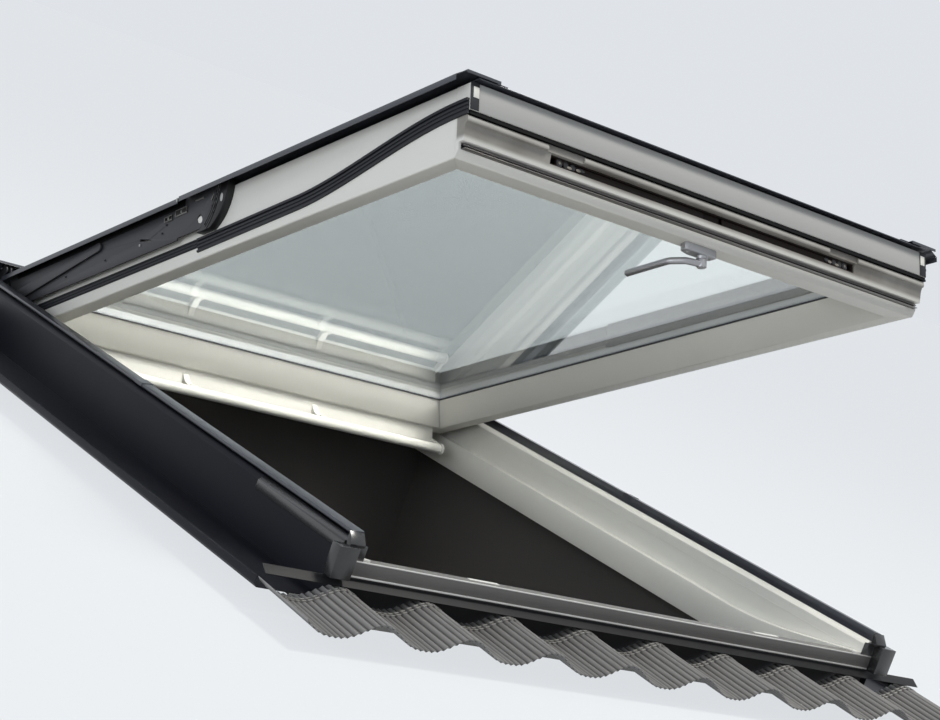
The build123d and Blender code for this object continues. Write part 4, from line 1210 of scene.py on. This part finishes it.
@dataclass
class ApronCrimps:
    """Two rows of crimps across the apron's pleats, just below the flange."""

    reach: float = 706.0
    pleat: float = 9.75
    crest_z: float = 59.5
    wave: float = 26.0
    pitch: float = 156.0
    centre_x: float = 48.0
    rows: tuple[float, ...] = (-51.0, -57.5)
    top_y: float = -33.0
    fall: float = 4.5 / 139.0

    def height(self, x: float, y: float) -> float:
        """Height of the pleats' ridges at a place of the apron.

        Args:
            x: Distance from the middle.
            y: Distance up the slope.

        Returns:
            The height in millimetres.
        """
        crest = (1 + math.cos(2 * math.pi * (x - self.centre_x) / self.pitch)) / 2
        return self.crest_z - self.wave * (1 - crest**1.4) - self.fall * (self.top_y - y)

    def build(self) -> None:
        """Builds both rows as one piece."""
        points, facing = [], []
        count = int(2 * self.reach / self.pleat)
        for y in self.rows:
            for i in range(1, count):
                x = -self.reach + i * self.pleat
                slope = (self.height(x + 2, y) - self.height(x - 2, y)) / 4
                points.append(Vector((x, y, self.height(x, y) + 0.1)) * MM)
                facing.append(Vector((-slope, 0.0, 1.0)).normalized())
        crimps = Scatter("apron_crimps", Seed.CRIMP, CRIMP_GREY, "frame", "flashing", 6.4, 3.4, 1.5)
        crimps.build(points, facing)


@dataclass
class VentPosts:
    """White posts of the control bar, from the flap's face over the back of the bar."""

    xs: tuple[float, ...] = (-160.0, 160.0)
    half_width: float = 7.0
    outline: tuple[Pair, ...] = (
        (1231.5, -45.4),
        (1236.0, -41.6),
        (1246.0, -41.0),
        (1262.0, -28.0),
        (1271.5, -10.0),
        (1271.5, -16.0),
        (1265.0, -32.0),
        (1248.5, -44.6),
        (1240.0, -42.3),
        (1234.6, -44.0),
    )

    def build(self) -> None:
        """Builds both posts."""
        posts = Form(on_sash=True)
        for x in self.xs:
            posts.prism(list(self.outline), x - self.half_width, x + self.half_width)
        posts.piece("vent_posts", WHITE, "vent", "white_plastic", 0.5)


@dataclass
class FrameTrim:
    """Beads on the side rails, painted highlights along the bottom cladding's edges, and painted highlights
    at the seams of the arms' covers.
    """

    wall_x: float = 548.0
    bead_z: float = 97.0
    low_y: float = -28.0
    high_y: float = 1330.0
    cladding_half: float = 570.0
    cladding_y: float = -34.0
    cladding_z: Pair = (73.0, 96.5)
    highlight_lines: tuple[Quad, ...] = ((-1.0, 0.0, -0.6, 2.0), (-0.5, 2.2, -1.4, 0.3))
    seam_highlight_x: Pair = (556.05, 556.9)
    seam_highlight_s: Pair = (701.6, 705.0)
    strip_h: Pair = (103.0, 110.5)

    def build(self) -> None:
        """Builds the beads, the painted highlights on the cladding's edges and the painted highlights at the
        covers' seams.
        """
        beads = Form()
        beads.block(self.wall_x - 0.7, self.wall_x, self.low_y, self.high_y, self.bead_z, self.bead_z + 1.3)
        beads.mirror()
        beads.piece("rail_beads", WHITE, "frame", "pu_white", 0.3)
        y, half = self.cladding_y, self.cladding_half
        # Painted highlights: near white strips along the cladding's top and bottom edges, standing in for
        # light on those edges.
        edges = Form()
        for z, (y0, y1, z0, z1) in zip(self.cladding_z, self.highlight_lines):
            edges.block(-half, half, y + y0, y + y1, z + z0, z + z1)
        edges.piece("cladding_edge_highlights", EDGE_HIGHLIGHT, "frame", "flashing", 0.2)
        # Painted highlight: a thin light grey strip on each cover at the seam between its lower and upper
        # part.
        tabs = Form(on_sash=True)
        tabs.block(*self.seam_highlight_x, *self.seam_highlight_s, *self.strip_h)
        tabs.mirror()
        tabs.piece("cover_seam_highlights", LIGHT_GREY, "arms", "grey_profile", 0.3)


@dataclass
class Dresser:
    """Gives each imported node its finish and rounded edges."""

    bevel_deg: float = 35.0
    edge_radius: dict[str, float] = field(
        default_factory=lambda: {
            "pu_white": 1.1,
            "white_plastic": 0.5,
            "anthracite": 0.35,
            "grey_profile": 0.35,
            "flashing": 0.3,
            "dark_steel": 0.35,
            "black_plastic": 0.6,
            "satin_aluminium": 0.5,
            "zinc_steel": 0.3,
        }
    )
    own_finish: dict[str, Coat] = field(
        default_factory=lambda: {
            # The apron's finish carries painted shade in its pleat valleys.
            "pleated_apron": APRON_GREY,
            # The flashings get a near black that is partly painted shade.
            "side_flashing_left": FLASHING_DARK_SHADE,
            "side_flashing_right": FLASHING_DARK_SHADE,
            "head_flashing": FLASHING_DARK_SHADE,
            # The flange gets painted shade in place of its sheet grey.
            "apron_flange": SHELF_SHADE_BLACK,
            # The bottom rail's finish carries painted shade in its front recess.
            "sash_bottom_rail": RAIL_WHITE,
            # The front gasket's rubber is deepened to near black, painted shade under the front profile.
            "front_gasket": BLACK_AND_SHADE,
            "corner_pieces": CORNER_BLACK,
            "lock_channel": LOCK_BROWN,
            "lock_bar_left": LOCK_BROWN,
            "lock_bar_right": LOCK_BROWN,
        }
    )
    own_radius: dict[str, float] = field(default_factory=lambda: {"pleated_apron": 0.0})
    sharp_deg: dict[str, float] = field(default_factory=lambda: {"pleated_apron": 8.0})

    def dress(self, name: str, node: bpy.types.Object, slot: str) -> None:
        """Puts the finish and the edge modifiers on one node.

        Args:
            name: The node's name.
            node: Its object.
            slot: Its material slot in the record.
        """
        material = self.own_finish.get(name, FINISHES[slot]).build()
        if not node.material_slots:
            node.data.materials.append(material)
        for place in node.material_slots:
            place.material = material
        if slot == "clear_glass":
            return
        weld = node.modifiers.new("join", "WELD")
        weld.merge_threshold = 0.000002
        radius = self.own_radius.get(name, self.edge_radius.get(slot, 0.0))
        if radius:
            bevel = node.modifiers.new("edges", "BEVEL")
            bevel.width = radius * MM
            bevel.segments = 2
            bevel.limit_method = "ANGLE"
            bevel.angle_limit = math.radians(self.bevel_deg)
            bevel.use_clamp_overlap = True
        smooth_modifier(node, self.sharp_deg.get(name, SMOOTH_DEG))

    def dress_all(self) -> None:
        """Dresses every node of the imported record."""
        slots = {part["node"]: part["material_slot"] for part in frame["record"]["subparts"]}
        for name, node in frame["nodes"].items():
            self.dress(name, node, slots[name])
        log.info("dressed %d nodes", len(slots))


@dataclass
class Studio:
    """Pale floor with a well under the roof opening, soft lights and the camera."""

    floor_half: float = 40.0
    backdrop: Quad = (0.74, 0.77, 0.81, 1.0)
    floor_shown: Quad = (0.93, 0.965, 1.0, 1.0)
    floor_glow: float = 0.74
    floor_colour: Quad = (0.56, 0.56, 0.56, 1.0)
    well_colour: Quad = (0.075, 0.070, 0.066, 1.0)
    sky_colour: Quad = (0.86, 0.92, 1.0, 1.0)
    sky_strength: float = 0.36
    target: Triple = (0.0, 0.6, 0.3)
    well_half_x: float = 0.575
    well_low_y: float = -0.03
    well_high_y: float = 1.365
    well_depth: float = 0.80
    camera_at: Triple = (-2.2850, -2.3109, 0.7237)
    camera_right: Triple = (0.760411, -0.553036, 0.340479)
    camera_down: Triple = (0.207189, -0.290289, -0.934240)
    camera_forward: Triple = (0.615506, 0.780950, -0.106156)
    lens: float = 79.23

    def floor_material(self) -> bpy.types.Material:
        """Makes the pale floor, which the camera sees close to the background with the shadow kept.

        Returns:
            The material.
        """
        values = {"Base Color": self.floor_colour, "Roughness": 0.9}
        material, tree, shader = start_material("pale_floor", values)
        glow = add_node(tree, "ShaderNodeEmission", {"Color": self.floor_shown, "Strength": 1.0})
        part = add_node(tree, "ShaderNodeMath", {1: self.floor_glow}, operation="MULTIPLY")
        mix = add_node(tree, "ShaderNodeMixShader")
        link = tree.links.new
        link(self.seen_rays(tree), part.inputs[0])
        wire(
            tree,
            (part, 0, mix, "Fac"),
            (shader, 0, mix, 1),
            (glow, 0, mix, 2),
        )
        link(mix.outputs[0], tree.nodes["Material Output"].inputs["Surface"])
        return material

    def seen_rays(self, tree: bpy.types.NodeTree) -> bpy.types.NodeSocket:
        """Adds nodes that are 1 for rays from the camera, off gloss or through glass.

        Args:
            tree: The tree that gets them.

        Returns:
            The socket with the result.
        """
        path = add_node(tree, "ShaderNodeLightPath")
        glossy = add_node(tree, "ShaderNodeMath", operation="MAXIMUM")
        seen = add_node(tree, "ShaderNodeMath", operation="MAXIMUM")
        wire(
            tree,
            (path, "Is Camera Ray", glossy, 0),
            (path, "Is Glossy Ray", glossy, 1),
            (glossy, 0, seen, 0),
            (path, "Is Transmission Ray", seen, 1),
        )
        return seen.outputs[0]

    def well_material(self) -> bpy.types.Material:
        """Makes the dark grey of the well's walls.

        Returns:
            The material.
        """
        return start_material("well_grey", {"Base Color": self.well_colour, "Roughness": 0.9})[0]

    def build_floor(self) -> None:
        """Builds the floor round the opening, and the well below it."""
        x, low, high, far = self.well_half_x, self.well_low_y, self.well_high_y, self.floor_half
        points = [(-far, -far), (far, -far), (far, far), (-far, far)]
        points += [(-x, low), (x, low), (x, high), (-x, high)]
        faces = [(0, 1, 5, 4), (1, 2, 6, 5), (2, 3, 7, 6), (3, 0, 4, 7)]
        self.add_stage("floor", [(px, py, 0.0) for px, py in points], faces, self.floor_material())
        rim = [(px, py, z) for z in (0.0, -self.well_depth) for px, py in points[4:]]
        walls = [(i, (i + 1) % 4, 4 + (i + 1) % 4, 4 + i) for i in range(4)] + [(4, 5, 6, 7)]
        self.add_stage("well", rim, walls, self.well_material())

    def add_stage(
        self,
        name: str,
        points: list[Triple],
        faces: list[tuple[int, ...]],
        material: bpy.types.Material,
    ) -> None:
        """Adds one piece of the stage.

        Args:
            name: The piece's name.
            points: Its corners, in metres.
            faces: Its faces, as corner indices.
            material: Its material.
        """
        mesh = bpy.data.meshes.new(name)
        mesh.from_pydata(points, [], faces)
        mesh.materials.append(material)
        place_object(name, mesh)

    def add_area(self, name: str, at: Vector, size: float, power: float, colour: Triple) -> None:
        """Adds a soft square lamp aimed at the window's middle.

        Args:
            name: The lamp's name.
            at: Its place, in metres.
            size: Its side, in metres.
            power: Its power, in watts.
            colour: Its colour.
        """
        lamp = bpy.data.lights.new(name, "AREA")
        lamp.size = size
        lamp.energy = power
        lamp.color = colour
        holder = place_object(name, lamp)
        turned = (at - Vector(self.target)).to_track_quat("Z", "Y").to_matrix().to_4x4()
        holder.matrix_world = Matrix.Translation(at) @ turned

    def build_lights(self) -> None:
        """Builds the lamps and the world."""
        self.add_area("key", Vector((0.7, -0.1, 4.5)), 1.0, 150.0, (1.0, 0.97, 0.91))
        self.add_area("fill", Vector((-4.4, -1.0, 1.3)), 2.6, 74.0, (0.90, 0.945, 1.0))
        world = bpy.data.worlds.new("studio")
        world.use_nodes = True
        tree = world.node_tree
        soft = tree.nodes["Background"]
        soft.inputs["Color"].default_value = self.sky_colour
        soft.inputs["Strength"].default_value = self.sky_strength
        shown = add_node(tree, "ShaderNodeBackground", {"Color": self.backdrop, "Strength": 1.0})
        mix = add_node(tree, "ShaderNodeMixShader")
        link = tree.links.new
        link(self.seen_rays(tree), mix.inputs["Fac"])
        wire(
            tree,
            (soft, 0, mix, 1),
            (shown, 0, mix, 2),
        )
        link(mix.outputs[0], tree.nodes["World Output"].inputs["Surface"])
        bpy.context.scene.world = world

    def build_camera(self) -> None:
        """Builds the camera at the viewing angle that was fitted to the window."""
        lens = bpy.data.cameras.new("camera")
        lens.sensor_width = 36.0
        lens.sensor_fit = "HORIZONTAL"
        lens.lens = self.lens
        lens.clip_end = 100.0
        camera = place_object("camera", lens)
        right = Vector(self.camera_right)
        up = -Vector(self.camera_down)
        back = -Vector(self.camera_forward)
        turned = Matrix([[right[row], up[row], back[row]] for row in range(3)]).to_4x4()
        camera.matrix_world = Matrix.Translation(Vector(self.camera_at)) @ turned
        bpy.context.scene.camera = camera

    def build(self) -> None:
        """Builds the whole studio."""
        self.build_floor()
        self.build_lights()
        self.build_camera()
        log.info("studio ready")


def main() -> None:
    """Builds and dresses everything in order."""
    logging.basicConfig(level=logging.INFO, format="%(message)s")
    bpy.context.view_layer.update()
    bpy.context.scene.view_settings.view_transform = "Standard"
    Studio().build()
    Dresser().dress_all()
    for fittings in (
        ArmFittings(),
        GuardFittings(),
        LockFittings(),
        FrontTrim(),
        HandleFittings(),
        VentPosts(),
        ApronCrimps(),
        FrameTrim(),
    ):
        fittings.build()


if __name__ == "__main__":
    main()
